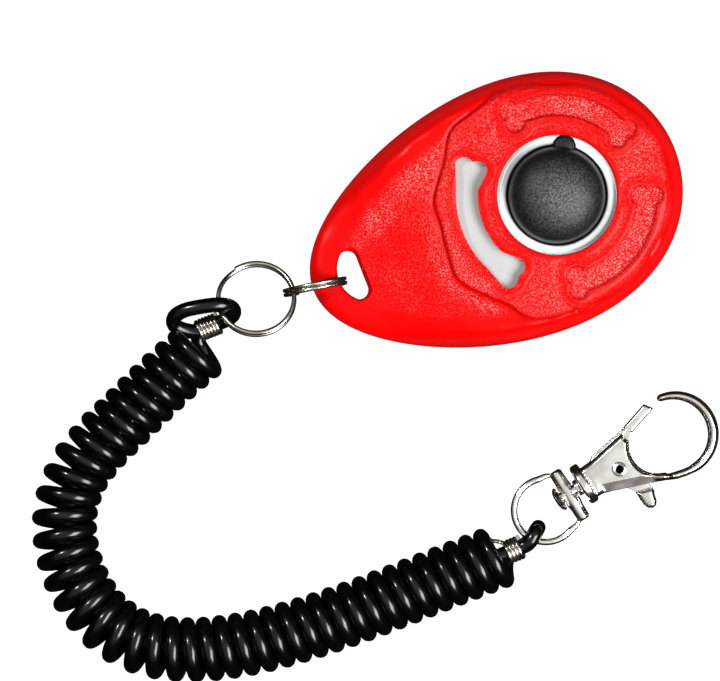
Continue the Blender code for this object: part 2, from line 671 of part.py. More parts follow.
def make_hook():
    body = clasp_mesh("hook_body", prism(hook_outline(), -LOOP_HALF_HEIGHT, LOOP_HALF_HEIGHT), CHROME)
    cheeks = prism(cheek_outline(), -CHEEK_HALF_HEIGHT, CHEEK_HALF_HEIGHT)
    combine(body, clasp_mesh("hook_cheeks", cheeks), "UNION")
    collar = D_BAR[1] + GAP
    profile = [(0, collar), (COLLAR_RADIUS, collar), (COLLAR_RADIUS, -0.9), (FLANGE_RADIUS - 0.25, -0.9),
               (FLANGE_RADIUS, -0.65), (FLANGE_RADIUS, 0.5), (FLANGE_RADIUS - 0.25, 0.75), (0, 0.75)]
    combine(body, clasp_mesh("hook_flange", along_axis(turned(profile, 24))), "UNION")
    socket = turned([(0, -3), (POST_RADIUS + GAP, -3), (POST_RADIUS + GAP, 1.7), (0, 1.7)], 16)
    combine(body, clasp_mesh("post_socket_cut", along_axis(socket)))
    gap = [(SLOT[0], -12.0), (SLOT[1], -12.0), (SLOT[1], 8.0), (SLOT[0], 8.0)]
    combine(body, clasp_mesh("slot_cut", prism(gap, -SLOT_HALF_HEIGHT, SLOT_HALF_HEIGHT)))
    combine(body, clasp_mesh("pin_hole_cut", cylinder(PIN, PIN_RADIUS + GAP, -4.0, 4.0, 16)))
    return body


def make_trigger():
    """Gate, web and thumb lever in one piece."""
    gate = [(11.8, 3.1), (17.2, 4.75), (16.3, 6.1), (10.6, 4.5)]
    front = [(6.6, 1.3), (4.6, 0.0), (4.4, -2.0), (5.6, -4.2), (6.9, -6.0)]
    back = [(9.7, -6.9), (9.2, -3.2), (9.0, -0.8)]
    lever = [(6.7, -7.3), (6.9, -9.0), (7.5, -9.9), (8.7, -9.9), (9.3, -9.1), (9.75, -7.3)]
    web = prism(gate + front + [(6.7, -7.8), (9.7, -7.8)] + back, -TRIGGER_HALF_HEIGHT, TRIGGER_HALF_HEIGHT)
    trigger = clasp_mesh("trigger", web, CHROME)
    combine(trigger, clasp_mesh("thumb_lever", prism(lever, -1.9, 1.9)), "UNION")
    combine(trigger, clasp_mesh("trigger_bore_cut", cylinder(PIN, PIN_RADIUS + GAP, -4.0, 4.0, 16)))
    pocket = cylinder(PIN, SPRING_MEAN_RADIUS + 0.55, 0.0, 4.0, 20)
    combine(trigger, clasp_mesh("spring_pocket_cut", pocket))
    return trigger


def make_trigger_pin():
    """A hollow rivet with a rolled head on each cheek."""
    face = CHEEK_HALF_HEIGHT + GAP
    profile = [(0, -face - 0.3), (PIN_HEAD_RADIUS, -face - 0.2), (PIN_HEAD_RADIUS, -face), (PIN_RADIUS, -face),
               (PIN_RADIUS, face), (PIN_HEAD_RADIUS, face), (PIN_HEAD_RADIUS, face + 0.1),
               (PIN_HEAD_RADIUS - 0.25, face + 0.3), (0.6, face + 0.25), (0.5, face - 0.5), (0, face - 0.5)]
    points, faces = turned(profile, 16)
    return clasp_mesh("trigger_pin", (moved(points, Matrix.Translation((*PIN, 0.0))), faces), CHROME)


def make_trigger_spring():
    """A torsion spring wound round the pin, beside the trigger's web."""
    turns, steps = 1.9, 26
    low, high = 0.45, 1.05
    path = []
    for i in range(steps + 1):
        a = 2 * math.pi * turns * i / steps
        path.append((PIN[0] + SPRING_MEAN_RADIUS * math.cos(a), PIN[1] + SPRING_MEAN_RADIUS * math.sin(a),
                     low + (high - low) * i / steps))
    return clasp_mesh("trigger_spring", tube_mesh(path, SPRING_WIRE, 6), STEEL)


# ---------------------------------------------------------------- assembly

def joint(name, point, pieces, parent=None):
    """An empty on a joint's axis that carries the pieces that move with it."""
    pivot = bpy.data.objects.new(name, None)
    pivot.empty_display_size = 2 * MM
    pivot.location = Vector(point) * MM
    bpy.context.scene.collection.objects.link(pivot)
    bpy.context.view_layer.update()
    if parent:
        pivot.parent = parent
        pivot.matrix_parent_inverse = parent.matrix_world.inverted()
    for piece in pieces:
        piece.parent = pivot
        piece.matrix_parent_inverse = Matrix.Translation(-Vector(point) * MM)
    bpy.context.view_layer.update()
    return pivot


def main():
    clear_scene()
    case = joint("case_frame", (0.0, 0.0, 0.0), make_case())
    joint("button_slide", (BUTTON_X, 0.0, PLATE_TOP), [make_button()], case)
    joint("strip_bend", (STRIP_PIVOT_X, 0.0, STRIP_TOP), [make_click_strip()], case)
    level, rise = ring_axes(SMALL_RING_YAW, 90.0)
    small_pivot = Vector(SMALL_RING_CENTRE) + SMALL_RING_MID_RADIUS * level
    small = joint("small_ring_swing", small_pivot, [make_small_ring()], case)
    level, rise = ring_axes(LARGE_RING_YAW, LARGE_RING_TILT)
    contact = math.radians(12.6)
    touch = LARGE_RING_MID_RADIUS * (math.cos(contact) * level + math.sin(contact) * rise)
    large = joint("large_ring_swing", Vector(LARGE_RING_CENTRE) + touch, [make_large_ring()], small)
    lanyard = joint("lanyard_slide", LARGE_RING_CENTRE, make_lanyard(), large)
    arc_centre = clasp_frame() @ Vector((*D_ARC_CENTRE, 0.0))
    eye = joint("d_ring_slide", arc_centre, [make_d_ring()], lanyard)
    hook = joint("hook_swivel", CLASP_ORIGIN, [make_swivel_post(), make_hook(), make_trigger_pin()], eye)
    pin = clasp_frame() @ Vector((*PIN, 0.0))
    joint("trigger_open", pin, [make_trigger(), make_trigger_spring()], hook)


main()
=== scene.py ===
"""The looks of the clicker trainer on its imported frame.

Lengths are in millimetres in the case's frame, and M turns them into metres.
"""
import math

import bmesh
import bpy
import numpy as np
from mathutils import Matrix, Vector


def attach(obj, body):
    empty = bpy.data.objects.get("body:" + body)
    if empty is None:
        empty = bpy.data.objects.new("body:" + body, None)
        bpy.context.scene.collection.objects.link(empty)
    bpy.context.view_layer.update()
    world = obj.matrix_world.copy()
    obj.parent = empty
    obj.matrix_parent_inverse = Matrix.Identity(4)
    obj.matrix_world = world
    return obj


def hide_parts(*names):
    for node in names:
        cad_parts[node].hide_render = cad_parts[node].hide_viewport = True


M = 0.001
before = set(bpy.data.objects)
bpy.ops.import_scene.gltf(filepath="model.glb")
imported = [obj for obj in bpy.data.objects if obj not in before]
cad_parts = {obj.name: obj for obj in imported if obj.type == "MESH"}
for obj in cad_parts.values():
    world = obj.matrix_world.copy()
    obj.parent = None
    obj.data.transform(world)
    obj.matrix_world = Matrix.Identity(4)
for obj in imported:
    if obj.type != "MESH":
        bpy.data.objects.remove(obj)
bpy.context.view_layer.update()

# The case
HALF_LENGTH, HALF_WIDTH, EGG = 34.0, 22.2, 0.194        # its outline, fuller at the head
HEAD_TOP, TAIL_TOP, TAIL_BASE = 13.9, 8.9, 2.9          # heights of its faces
PART_TOP, PART_BASE = 6.05, 5.75                        # the two lips of the seam
TOP_FLANK, BASE_FLANK = 3.6, 4.5                        # how far in the rounded flanks reach
SHOULDER = 0.35                                         # from the seam to the start of a flank
CAVITY_END = -20.0                                      # the tail is solid beyond this
BUTTON_X, BUTTON_HOLE = 11.8, 10.5                      # axis and radius of the button's hole
EAR_RADIUS, EAR_AZIMUTH = 8.6, 60                       # where the button's index ear is
BONE_RADIUS, BONE_WIDTH, BONE_SPREAD = 15.7, 1.9, 38.3  # middle arc, half width and half angle
LOBE_RADIUS, LOBE_OFFSET = 1.72, 1.2                    # the two knobs at each end of a bone
WINDOW_AZIMUTH, RECESS_AZIMUTHS = 180.0, (60.0, -60.0)
LANYARD_HOLE_X, LANYARD_HOLE_Z = -27.12, 5.9
SHARP_EDGE = 38
CASE_SCREWS = ((-17.0, 0.0, 2.2, 9.2), (21.5, 11.5, 1.9, 11.2), (21.5, -11.5, 1.9, 11.2))
# each is x, y, height of the head's seat, height of the tip

# The view of the photograph, as directions on the floor
VIEW_RIGHT = Vector((0.9304, -0.3665, 0.0))
VIEW_UP = Vector((0.3665, 0.9304, 0.0))


# ---------------------------------------------------------------- camera

def make_camera():
    target = Vector((-29.65, -11.11, 5.0)) * M
    place = Vector((8.0, 6.0, 1500.0)) * M
    sensor, seen_width = 36.0, 126.3
    away = (place - target).normalized()
    right = (VIEW_RIGHT - away * VIEW_RIGHT.dot(away)).normalized()
    up = away.cross(right)
    data = bpy.data.cameras.new("camera")
    data.sensor_width = sensor
    data.lens = sensor * (place - target).length / (seen_width * M)
    data.clip_start = 0.1
    camera = bpy.data.objects.new("camera", data)
    turned_frame = Matrix((right, up, away)).transposed().to_4x4()
    camera.matrix_world = Matrix.Translation(place) @ turned_frame
    bpy.context.scene.collection.objects.link(camera)
    bpy.context.scene.camera = camera


# ---------------------------------------------------------------- materials

def new_material(name, base, roughness, metallic=0.0, specular=0.5):
    material = bpy.data.materials.new(name)
    material.use_nodes = True
    shader = material.node_tree.nodes["Principled BSDF"]
    shader.inputs["Base Color"].default_value = (*base, 1.0)
    shader.inputs["Roughness"].default_value = roughness
    shader.inputs["Metallic"].default_value = metallic
    shader.inputs["Specular IOR Level"].default_value = specular
    return material, material.node_tree, shader


def noise(tree, scale, detail):
    coord = tree.nodes.new("ShaderNodeTexCoord")
    texture = tree.nodes.new("ShaderNodeTexNoise")
    texture.inputs["Scale"].default_value = scale
    texture.inputs["Detail"].default_value = detail
    tree.links.new(coord.outputs["Object"], texture.inputs["Vector"])
    return texture.outputs["Fac"]


def ramp(tree, source, low, high, dark, light):
    """The colour dark where source is low, and light where it is high."""
    node = tree.nodes.new("ShaderNodeValToRGB")
    for stop, position, colour in zip(node.color_ramp.elements, (low, high), (dark, light)):
        stop.position = position
        stop.color = (*colour, 1.0)
    tree.links.new(source, node.inputs["Fac"])
    return node.outputs["Color"]


def scaled(tree, source, low, high, new_low, new_high):
    node = tree.nodes.new("ShaderNodeMapRange")
    for name, value in (("From Min", low), ("From Max", high),
                        ("To Min", new_low), ("To Max", new_high)):
        node.inputs[name].default_value = value
    tree.links.new(source, node.inputs["Value"])
    return node.outputs["Result"]


def colour_mix(tree, amount, colour):
    """A mix node that is colour where amount is 0. The caller sets its B, for where amount is 1."""
    node = tree.nodes.new("ShaderNodeMix")
    node.data_type = "RGBA"
    tree.links.new(amount, node.inputs["Factor"])
    tree.links.new(colour, node.inputs["A"])
    return node


def product(tree, a, b):
    node = tree.nodes.new("ShaderNodeMath")
    node.operation = "MULTIPLY"
    tree.links.new(a, node.inputs[0])
    tree.links.new(b, node.inputs[1])
    return node.outputs["Value"]


def attribute_value(tree, name):
    node = tree.nodes.new("ShaderNodeAttribute")
    node.attribute_name = name
    return node.outputs["Fac"]


def bump(tree, shader, height, distance, strength):
    node = tree.nodes.new("ShaderNodeBump")
    node.inputs["Distance"].default_value = distance * M
    node.inputs["Strength"].default_value = strength
    tree.links.new(height, node.inputs["Height"])
    tree.links.new(node.outputs["Normal"], shader.inputs["Normal"])


def red_material():
    """Saturated red, finely grained and flecked with painted pink sparkle highlights where its grain
    attribute is high, and darkened by painted shade along its creases.
    """
    material, tree, shader = new_material("red_case", (0.80, 0.004, 0.006), 0.3, specular=0.09)
    grain_and_sparkle = attribute_value(tree, "grain_and_sparkle")
    fine = noise(tree, 3600.0, 2.0)
    patch = noise(tree, 170.0, 2.0)
    bump(tree, shader, product(tree, fine, grain_and_sparkle), 0.2, 0.9)
    # painted highlight: pale pink flecks on the grain stand for its sparkle
    painted_sparkle = product(tree, scaled(tree, fine, 0.50, 0.70, 0.0, 1.0), grain_and_sparkle)
    painted_sparkle = product(tree, painted_sparkle, scaled(tree, patch, 0.36, 0.6, 0.4, 1.0))
    colour = ramp(tree, painted_sparkle, 0.0, 1.0, (0.60, 0.0006, 0.0008), (0.80, 0.23, 0.21))
    # painted shade: the colour darkens along the creases
    crease_shaded = colour_mix(tree, attribute_value(tree, "painted_crease_shade"), colour)
    crease_shaded.inputs["B"].default_value = (0.24, 0.0, 0.0, 1.0)
    tree.links.new(crease_shaded.outputs["Result"], shader.inputs["Base Color"])
    tree.links.new(scaled(tree, grain_and_sparkle, 0.0, 1.0, 0.28, 0.42), shader.inputs["Roughness"])
    return material


def black_plastic():
    """Textured black plastic, lightened to grey by a painted highlight where the attribute set by
    make_button is high.
    """
    material, tree, shader = new_material("black_button", (0.02, 0.02, 0.022), 0.46, specular=0.22)
    fine = noise(tree, 3200.0, 3.0)
    plain_black = ramp(tree, fine, 0.42, 0.75, (0.002, 0.002, 0.002), (0.024, 0.024, 0.025))
    highlight_grey = ramp(tree, fine, 0.40, 0.70, (0.035, 0.035, 0.036), (0.22, 0.22, 0.225))
    colour = colour_mix(tree, attribute_value(tree, "painted_highlight"), plain_black)
    tree.links.new(highlight_grey, colour.inputs["B"])
    tree.links.new(colour.outputs["Result"], shader.inputs["Base Color"])
    bump(tree, shader, fine, 0.08, 0.7)
    return material


def silver_paint(name, paint):
    """Silver paint with a few dark specks and an uneven gloss."""
    material, tree, shader = new_material(name, paint, 0.3, 0.3, 0.3)
    cloud = noise(tree, 90.0, 4.0)
    speck = noise(tree, 900.0, 1.0)
    tree.links.new(scaled(tree, cloud, 0.3, 0.7, 0.24, 0.42), shader.inputs["Roughness"])
    colour = ramp(tree, speck, 0.18, 0.26, (0.20, 0.21, 0.23), paint)
    tree.links.new(colour, shader.inputs["Base Color"])
    bump(tree, shader, cloud, 0.05, 0.5)
    return material


def cord_black():
    material, tree, shader = new_material("cord_gloss", (0.001, 0.001, 0.001), 0.16, specular=0.4)
    wear = noise(tree, 260.0, 3.0)
    tree.links.new(scaled(tree, wear, 0.3, 0.7, 0.16, 0.24), shader.inputs["Roughness"])
    bump(tree, shader, wear, 0.03, 0.5)
    return material


def plated(name, base, low, high):
    """Plated metal whose roughness runs from low to high with wear."""
    material, tree, shader = new_material(name, base, low, 1.0)
    wear = noise(tree, 420.0, 4.0)
    tree.links.new(scaled(tree, wear, 0.3, 0.7, low, high), shader.inputs["Roughness"])
    dull = tuple(c * 0.86 for c in base)
    bright = tuple(min(1.0, c * 1.06) for c in base)
    tree.links.new(ramp(tree, wear, 0.3, 0.6, dull, bright), shader.inputs["Base Color"])
    bump(tree, shader, wear, 0.02, 0.6)
    return material


def plain_grey():
    material, tree, shader = new_material("grey_block", (0.3, 0.3, 0.31), 0.55)
    fine = noise(tree, 1500.0, 3.0)
    colour = ramp(tree, fine, 0.3, 0.7, (0.24, 0.24, 0.25), (0.36, 0.36, 0.37))
    tree.links.new(colour, shader.inputs["Base Color"])
    bump(tree, shader, fine, 0.05, 1.0)
    return material


# ---------------------------------------------------------------- meshes

def add_mesh(name, points, faces, material=None, angle=35.0):
    """A smooth mesh with sharp edges above this angle. At 0 its edges are left alone."""
    mesh = bpy.data.meshes.new(name)
    mesh.from_pydata([Vector(p) * M for p in points], [], faces)
    bm = bmesh.new()
    bm.from_mesh(mesh)
    bmesh.ops.recalc_face_normals(bm, faces=bm.faces)
    bm.to_mesh(mesh)
    bm.free()
    mesh.shade_smooth()
    if angle:
        mesh.set_sharp_from_angle(angle=math.radians(angle))
    made = bpy.data.objects.new(name, mesh)
    bpy.context.scene.collection.objects.link(made)
    if material:
        mesh.materials.append(material)
    return made


def shade(piece, angle):
    """Smooth shading, with sharp edges above this angle."""
    piece.data.shade_smooth()
    piece.data.set_sharp_from_angle(angle=math.radians(angle))


def set_values(piece, name, values):
    """Stores one number for each point, for a material to read."""
    attribute = piece.data.attributes.new(name, "FLOAT", "POINT")
    attribute.data.foreach_set("value", np.asarray(values, np.float32))


def finish_piece(made, body, slot, *nodes):
    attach(made, body)
    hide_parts(*nodes)
    return made


def apply_modifiers(made):
    bpy.context.view_layer.update()
    ready = made.evaluated_get(bpy.context.evaluated_depsgraph_get())
    mesh = bpy.data.meshes.new_from_object(ready)
    made.modifiers.clear()
    made.data = mesh


def combine(piece, tool, operation="DIFFERENCE"):
    """Joins tool to piece or cuts it out, and removes the tool."""
    modifier = piece.modifiers.new("shape", "BOOLEAN")
    modifier.operation = operation
    modifier.solver = "EXACT"
    modifier.object = tool
    apply_modifiers(piece)
    bpy.data.objects.remove(tool)


def smooth_cast(piece, voxel, turns, material):
    """Rounds every edge and inner corner of a piece, as on a cast and polished part."""
    remesh = piece.modifiers.new("remesh", "REMESH")
    remesh.mode = "VOXEL"
    remesh.voxel_size = voxel * M
    smooth = piece.modifiers.new("smooth", "SMOOTH")
    smooth.iterations = turns
    smooth.factor = 0.5
    apply_modifiers(piece)
    piece.data.shade_smooth()
    piece.data.materials.clear()
    piece.data.materials.append(material)


def loft(rings, closed=False):
    """Joins rings of points one after another, as a tube with ends or as a closed loop."""
    count = len(rings[0])
    points = [tuple(p) for ring in rings for p in ring]
    faces = []
    pairs = list(zip(range(len(rings)), range(1, len(rings))))
    if closed:
        pairs.append((len(rings) - 1, 0))
    else:
        faces.append(tuple(reversed(range(count))))
        faces.append(tuple(range(count * (len(rings) - 1), count * len(rings))))
    for a, b in pairs:
        for i in range(count):
            j = (i + 1) % count
            faces.append((a * count + i, a * count + j, b * count + j, b * count + i))
    return points, faces


def prism(outline, low, high):
    return loft([[(x, y, z) for x, y in outline] for z in (low, high)])


def arc(centre, radius, start, end, steps):
    turns = [math.radians(start + (end - start) * i / steps) for i in range(steps + 1)]
    return [(centre[0] + radius * math.cos(a), centre[1] + radius * math.sin(a)) for a in turns]


def cylinder(centre, radius, low, high, steps=48):
    return prism(arc(centre, radius, 0.0, 360.0 * (steps - 1) / steps, steps - 1), low, high)


def turned(profile, steps=96, closed=False):
    """Revolves a profile of (radius, z) about Z. A closed profile makes a ring."""
    turns = [2 * math.pi * i / steps for i in range(steps)]
    rings = []
    for radius, z in profile:
        r = max(radius, 0.01)
        rings.append([(r * math.cos(a), r * math.sin(a), z) for a in turns])
    return loft(rings, closed)


def moved(shape, matrix):
    points, faces = shape
    return [tuple(matrix @ Vector(p)) for p in points], faces


def smooth_route(route, step):
    """Points on a smooth curve through the route's own points."""
    knots = [Vector(p) for p in route]
    ends = [2 * knots[0] - knots[1], *knots, 2 * knots[-1] - knots[-2]]
    points = []
    for before, a, b, after in zip(ends, ends[1:], ends[2:], ends[3:]):
        count = max(1, round((b - a).length / step))
        for i in range(count):
            u = i / count
            points.append(0.5 * (2 * a + (b - before) * u
                                 + (2 * before - 5 * a + 4 * b - after) * u ** 2
                                 + (3 * a - before - 3 * b + after) * u ** 3))
    return points + [knots[-1]]


def bridge(start, heading, end, arrival, count=8):
    """A curve from start to end that leaves along heading and arrives along arrival."""
    a, b = Vector(start), Vector(end)
    pull = (b - a).length * 1.15
    out, back = Vector(heading).normalized() * pull, Vector(arrival).normalized() * pull
    points = []
    for i in range(1, count):
        u = i / count
        points.append((2 * u ** 3 - 3 * u ** 2 + 1) * a + (u ** 3 - 2 * u ** 2 + u) * out
                      + (3 * u ** 2 - 2 * u ** 3) * b + (u ** 3 - u ** 2) * back)
    return points


def relaxed(points, start, end, limit, rounds):
    """Eases every bend between two places on a path that is tighter than limit."""
    path = [Vector(p) for p in points]
    for _ in range(rounds):
        for i in range(start, end):
            back, ahead = path[i] - path[i - 1], path[i + 1] - path[i]
            if back.angle(ahead) * limit > (back.length + ahead.length) / 2:
                path[i] = path[i] * 0.4 + (path[i - 1] + path[i + 1]) * 0.3
    return path


def add_tube(name, points, radius, material, resolution):
    """A round tube along the points. The resolution is the number of steps in its section."""
    curve = bpy.data.curves.new(name, "CURVE")
    curve.dimensions = "3D"
    curve.bevel_depth = radius * M
    curve.bevel_resolution = resolution
    curve.use_fill_caps = True
    spline = curve.splines.new("POLY")
    spline.points.add(len(points) - 1)
    for spot, point in zip(spline.points, points):
        spot.co = (*(Vector(point) * M), 1.0)
    spline.use_smooth = True
    made = bpy.data.objects.new(name, curve)
    bpy.context.scene.collection.objects.link(made)
    curve.materials.append(material)
    return made


# ---------------------------------------------------------------- case

def smoothstep(low, high, value):
    """0 below low and 1 above high, with a smooth rise between."""
    u = np.clip((value - low) / (high - low), 0.0, 1.0)
    return u * u * (3 - 2 * u)


def band(distance, middle, width):
    """1 along the middle of a soft band and 0 away from it."""
    return np.exp(-((distance - middle) / width) ** 2)


def outline_points(turn, inset):
    """Points of the case outline at these angles in radians, moved inwards by inset."""
    c, s = np.cos(turn), np.sin(turn)
    dx = -HALF_LENGTH * s
    dy = HALF_WIDTH * (c * (1 + EGG * c) - EGG * s * s)
    size = np.hypot(dx, dy)
    x = HALF_LENGTH * c - inset * dy / size
    y = HALF_WIDTH * s * (1 + EGG * c) + inset * dx / size
    return x, y


def top_height(x, y):
    """Height of the upper face: it rises from the tail to the head and swells round the button."""
    swell = 0.5 * np.maximum(0.0, 1 - (np.hypot(x - BUTTON_X, y) / 20.0) ** 2)
    return TAIL_TOP + (HEAD_TOP - TAIL_TOP) * smoothstep(-28.0, -8.0, x) + swell


def base_height(x, y):
    """Height of the back, which rises under the tail."""
    return TAIL_BASE * smoothstep(14.0, 29.0, -x)


def bone_distance(x, y, azimuth):
    """Distance outside the edge of the curved bone that lies round the button at this azimuth."""
    radius = np.hypot(x - BUTTON_X, y)
    turn = np.degrees(np.arctan2(y, x - BUTTON_X)) - azimuth
    turn = np.abs((turn + 180.0) % 360.0 - 180.0)
    shank = np.where(turn > BONE_SPREAD, 9.0, np.abs(radius - BONE_RADIUS) - BONE_WIDTH)
    along = np.radians(turn - BONE_SPREAD) * radius
    lobes = [np.hypot(radius - BONE_RADIUS - offset, along) - LOBE_RADIUS
             for offset in (-LOBE_OFFSET, LOBE_OFFSET)]
    return np.minimum(shank, np.minimum(*lobes))


PLATEAU_AZIMUTHS = (88, 95, 106, 118, 127, 139, 149, 162, 172, 186, 199, 212, 224, 236, 250, 262)
PLATEAU_RADII = (19.6, 20.9, 20.0, 20.6, 21.6, 20.4, 20.3, 21.4,
                 20.6, 21.2, 22.7, 21.2, 20.6, 21.9, 20.7, 19.6)
BEYOND = 60.0                      # a radius outside the case


def plateau_edge(x, y, edge_radius):
    """How far a point lies outside the wavy edge of the raised face."""
    radius = np.hypot(x - BUTTON_X, y)
    turn = np.degrees(np.arctan2(y, x - BUTTON_X)) % 360.0
    wavy = sum(np.interp(turn + shift, PLATEAU_AZIMUTHS, PLATEAU_RADII, BEYOND, BEYOND)
               for shift in (-3, 0, 3)) / 3
    return radius - np.minimum(wavy, edge_radius + 1.1 + 0.25 * np.sin(np.radians(turn) * 9))


def relief(x, y, edge_radius):
    """The moulded detail at a point: its height, how grained it is with its painted sparkle
    highlights, and how much painted shade darkens its creases.
    """
    recess = np.minimum(*[bone_distance(x, y, azimuth) for azimuth in RECESS_AZIMUTHS])
    window = bone_distance(x, y, WINDOW_AZIMUTH)
    nearest = np.minimum(recess, window)
    outside = plateau_edge(x, y, edge_radius)
    radius = np.hypot(x - BUTTON_X, y)

    height = -0.55 * smoothstep(-0.1, 0.55, -recess)             # floors of the recesses
    height += 0.10 * band(recess, 0.45, 0.35)                    # their lips
    height -= 0.35 * (1 - smoothstep(0.0, 0.7, window))          # rounded edge of the window
    height -= 0.16 * band(nearest, 1.75, 0.33)                   # groove round each bone
    height -= 0.40 * smoothstep(-0.3, 0.4, outside)              # step down to the tail
    height -= 0.22 * band(outside, 0.45, 0.3)                    # groove along that step
    height += (0.08 * smoothstep(0.3, 1.2, outside)              # shallow waves on the tail
               * np.sin(0.9 * x + 0.5 * y) * np.sin(0.55 * y - 0.3 * x))

    grain_and_sparkle = 1 - 0.85 * band(nearest, 0.7, 0.75)                  # smooth rims round the bones
    grain_and_sparkle *= 1 - band(outside, 0.3, 0.55)                        # and along the step
    grain_and_sparkle *= smoothstep(0.2, 1.6, radius - BUTTON_HOLE)          # and round the button
    grain_and_sparkle *= np.where((recess > 0) & (x > -1.0), 0.6, 1.0)
    # on the tail the grain and its painted pink sparkle are strongest in a diagonal band, a painted
    # sheen, and in a band beyond the step
    painted_sheen_band = band(0.436 * (x + 22.9) - 0.9 * (y - 5.9), 0.0, 2.4) * smoothstep(-27.0, -21.0, x)
    ridge = band(outside, 1.8, 1.5)
    tail = 0.22 + 0.8 * np.maximum(painted_sheen_band, 0.6 * ridge)
    grain_and_sparkle *= np.where(outside > 0.3, tail * smoothstep(0.8, 4.0, edge_radius - radius), 1.0)

    # painted shade at the edges of the recesses, in the grooves round the bones and along the step
    painted_crease_shade = 0.8 * band(recess, 0.02, 0.24)
    painted_crease_shade = np.maximum(painted_crease_shade, 0.5 * band(nearest, 1.75, 0.26))
    painted_crease_shade = np.maximum(painted_crease_shade, 0.7 * band(outside, 0.4, 0.34))
    return height, grain_and_sparkle, painted_crease_shade


def top_rings(columns, rows):
    """Rings of the top cover from the button hole over the face and flank, and back inside."""
    table = np.linspace(0, 2 * np.pi, 4001)
    px, py = outline_points(table, TOP_FLANK)
    azimuth = np.linspace(0, 2 * np.pi, columns, endpoint=False)
    turn = np.interp(azimuth, np.unwrap(np.arctan2(py, px - BUTTON_X)), table)
    ca, sa = np.cos(azimuth), np.sin(azimuth)
    ex, ey = outline_points(turn, TOP_FLANK)
    edge = np.hypot(ex - BUTTON_X, ey)
    rings, grain_and_sparkle_rows, painted_crease_shades = [], [], []

    def add(place, height, grain_and_sparkle=0.0, painted_crease_shade=0.0):
        x, y = place
        z = height(x, y) if callable(height) else height
        rings.append(np.stack([x, y, z + 0 * x], axis=1))
        grain_and_sparkle_rows.append(np.zeros(columns) + grain_and_sparkle)
        painted_crease_shades.append(np.zeros(columns) + painted_crease_shade)

    def at(radius):
        return BUTTON_X + radius * ca, radius * sa

    # the wall of the button's hole and its rounded rim
    rim = top_height(*at(BUTTON_HOLE))
    add(at(BUTTON_HOLE), rim - 1.6)
    add(at(BUTTON_HOLE), rim - 0.6)
    rounding = 0.35
    for bend in np.radians((0, 25, 50, 75)):
        z = rim - rounding + rounding * np.sin(bend)
        add(at(BUTTON_HOLE + rounding * (1 - np.cos(bend))), z)
    # the face, with its rows closer together near the button
    for share in np.linspace(0, 1, rows):
        start = BUTTON_HOLE + rounding
        x, y = at(start + (edge - start) * (0.5 * share + 0.5 * share ** 2))
        height, grain_and_sparkle, painted_crease_shade = relief(x, y, edge)
        fade = min(1.0, share * 12)
        add((x, y), top_height(x, y) + height * fade, grain_and_sparkle, painted_crease_shade * fade)
    # the flank
    for bend in np.radians(np.linspace(87, 0, 16)):
        x, y = outline_points(turn, TOP_FLANK * (1 - np.cos(bend)))
        height, grain_and_sparkle, painted_crease_shade = relief(x, y, edge)
        shoulder = PART_TOP + SHOULDER
        rise = (top_height(x, y) - shoulder) * np.sin(bend)
        fade = np.clip(np.sin(bend) * 4 - 3, 0, 1)
        add((x, y), shoulder + rise + height * np.sin(bend) ** 2, grain_and_sparkle * fade, painted_crease_shade * fade)
    # the lip of the seam, and back along the inside
    add(outline_points(turn, 0.0), PART_TOP + 0.2)
    add(outline_points(turn, 0.2), PART_TOP)
    ix, iy = outline_points(turn, 2.2)
    end_wall = np.where(ca < 0, (CAVITY_END - BUTTON_X) / np.minimum(ca, -1e-6), 1e6)
    inner = np.minimum(np.hypot(ix - BUTTON_X, iy), end_wall)
    add(at(inner), PART_TOP)
    add(at(inner), lambda x, y: top_height(x, y) - 2.4)
    for share in (0.97, 0.8, 0.6, 0.4, 0.2):
        add(at(BUTTON_HOLE + (inner - BUTTON_HOLE) * share), lambda x, y: top_height(x, y) - 1.6)
    return rings, {"grain_and_sparkle": np.concatenate(grain_and_sparkle_rows), "painted_crease_shade": np.concatenate(painted_crease_shades)}


def lanyard_hole():
    """Cutter for the D-shaped lanyard hole, flared where it meets the outside."""
    tip = arc((-23.49, 0.0), 5.66, 131, 229, 40)
    corner = arc((-26.55, 2.75), 1.65, 0.0, 112.0, 14)
    shape = tip + [(x, -y) for x, y in reversed(corner)] + corner
    half_x, half_y, half_height, straight = 2.02, 4.4, 4.4, 1.0
    rings = []
    for height in np.linspace(-half_height, half_height, 23):
        flare = 1.7 * max(0.0, (abs(height) - straight) / (half_height - straight)) ** 2
        wide, tall = 1 + flare / half_x, 1 + flare / half_y
        z = LANYARD_HOLE_Z + height
        rings.append([(LANYARD_HOLE_X + (x - LANYARD_HOLE_X) * wide, y * tall, z) for x, y in shape])
    return add_mesh("hole_cutter", *loft(rings))


def bone_cutter():
    """Cutter with the outline of the bone window, found by halving along each direction."""
    points = []
    for a in np.linspace(-np.pi, np.pi, 361)[:-1]:
        low, high = 0.0, 14.0
        for _ in range(30):
            middle = (low + high) / 2
            spin = math.radians(WINDOW_AZIMUTH) - middle * math.cos(a) / BONE_RADIUS
            radius = BONE_RADIUS + middle * math.sin(a)
            x, y = BUTTON_X + radius * math.cos(spin), radius * math.sin(spin)
            inside = bone_distance(x, y, WINDOW_AZIMUTH) < 0
            low, high = (middle, high) if inside else (low, middle)
        points.append((x, y))
    return add_mesh("bone_cutter", *prism(points, 8.0, 18.0))


def make_top(material):
    rings, values = top_rings(columns=540, rows=110)
    cover = add_mesh("case_top", *loft([ring.tolist() for ring in rings], closed=True), material, 0)
    for name, value in values.items():
        set_values(cover, name, value)
    combine(cover, bone_cutter())
    combine(cover, lanyard_hole())
    shade(cover, SHARP_EDGE)
    return finish_piece(cover, "case", "red_plastic", "top_cover")


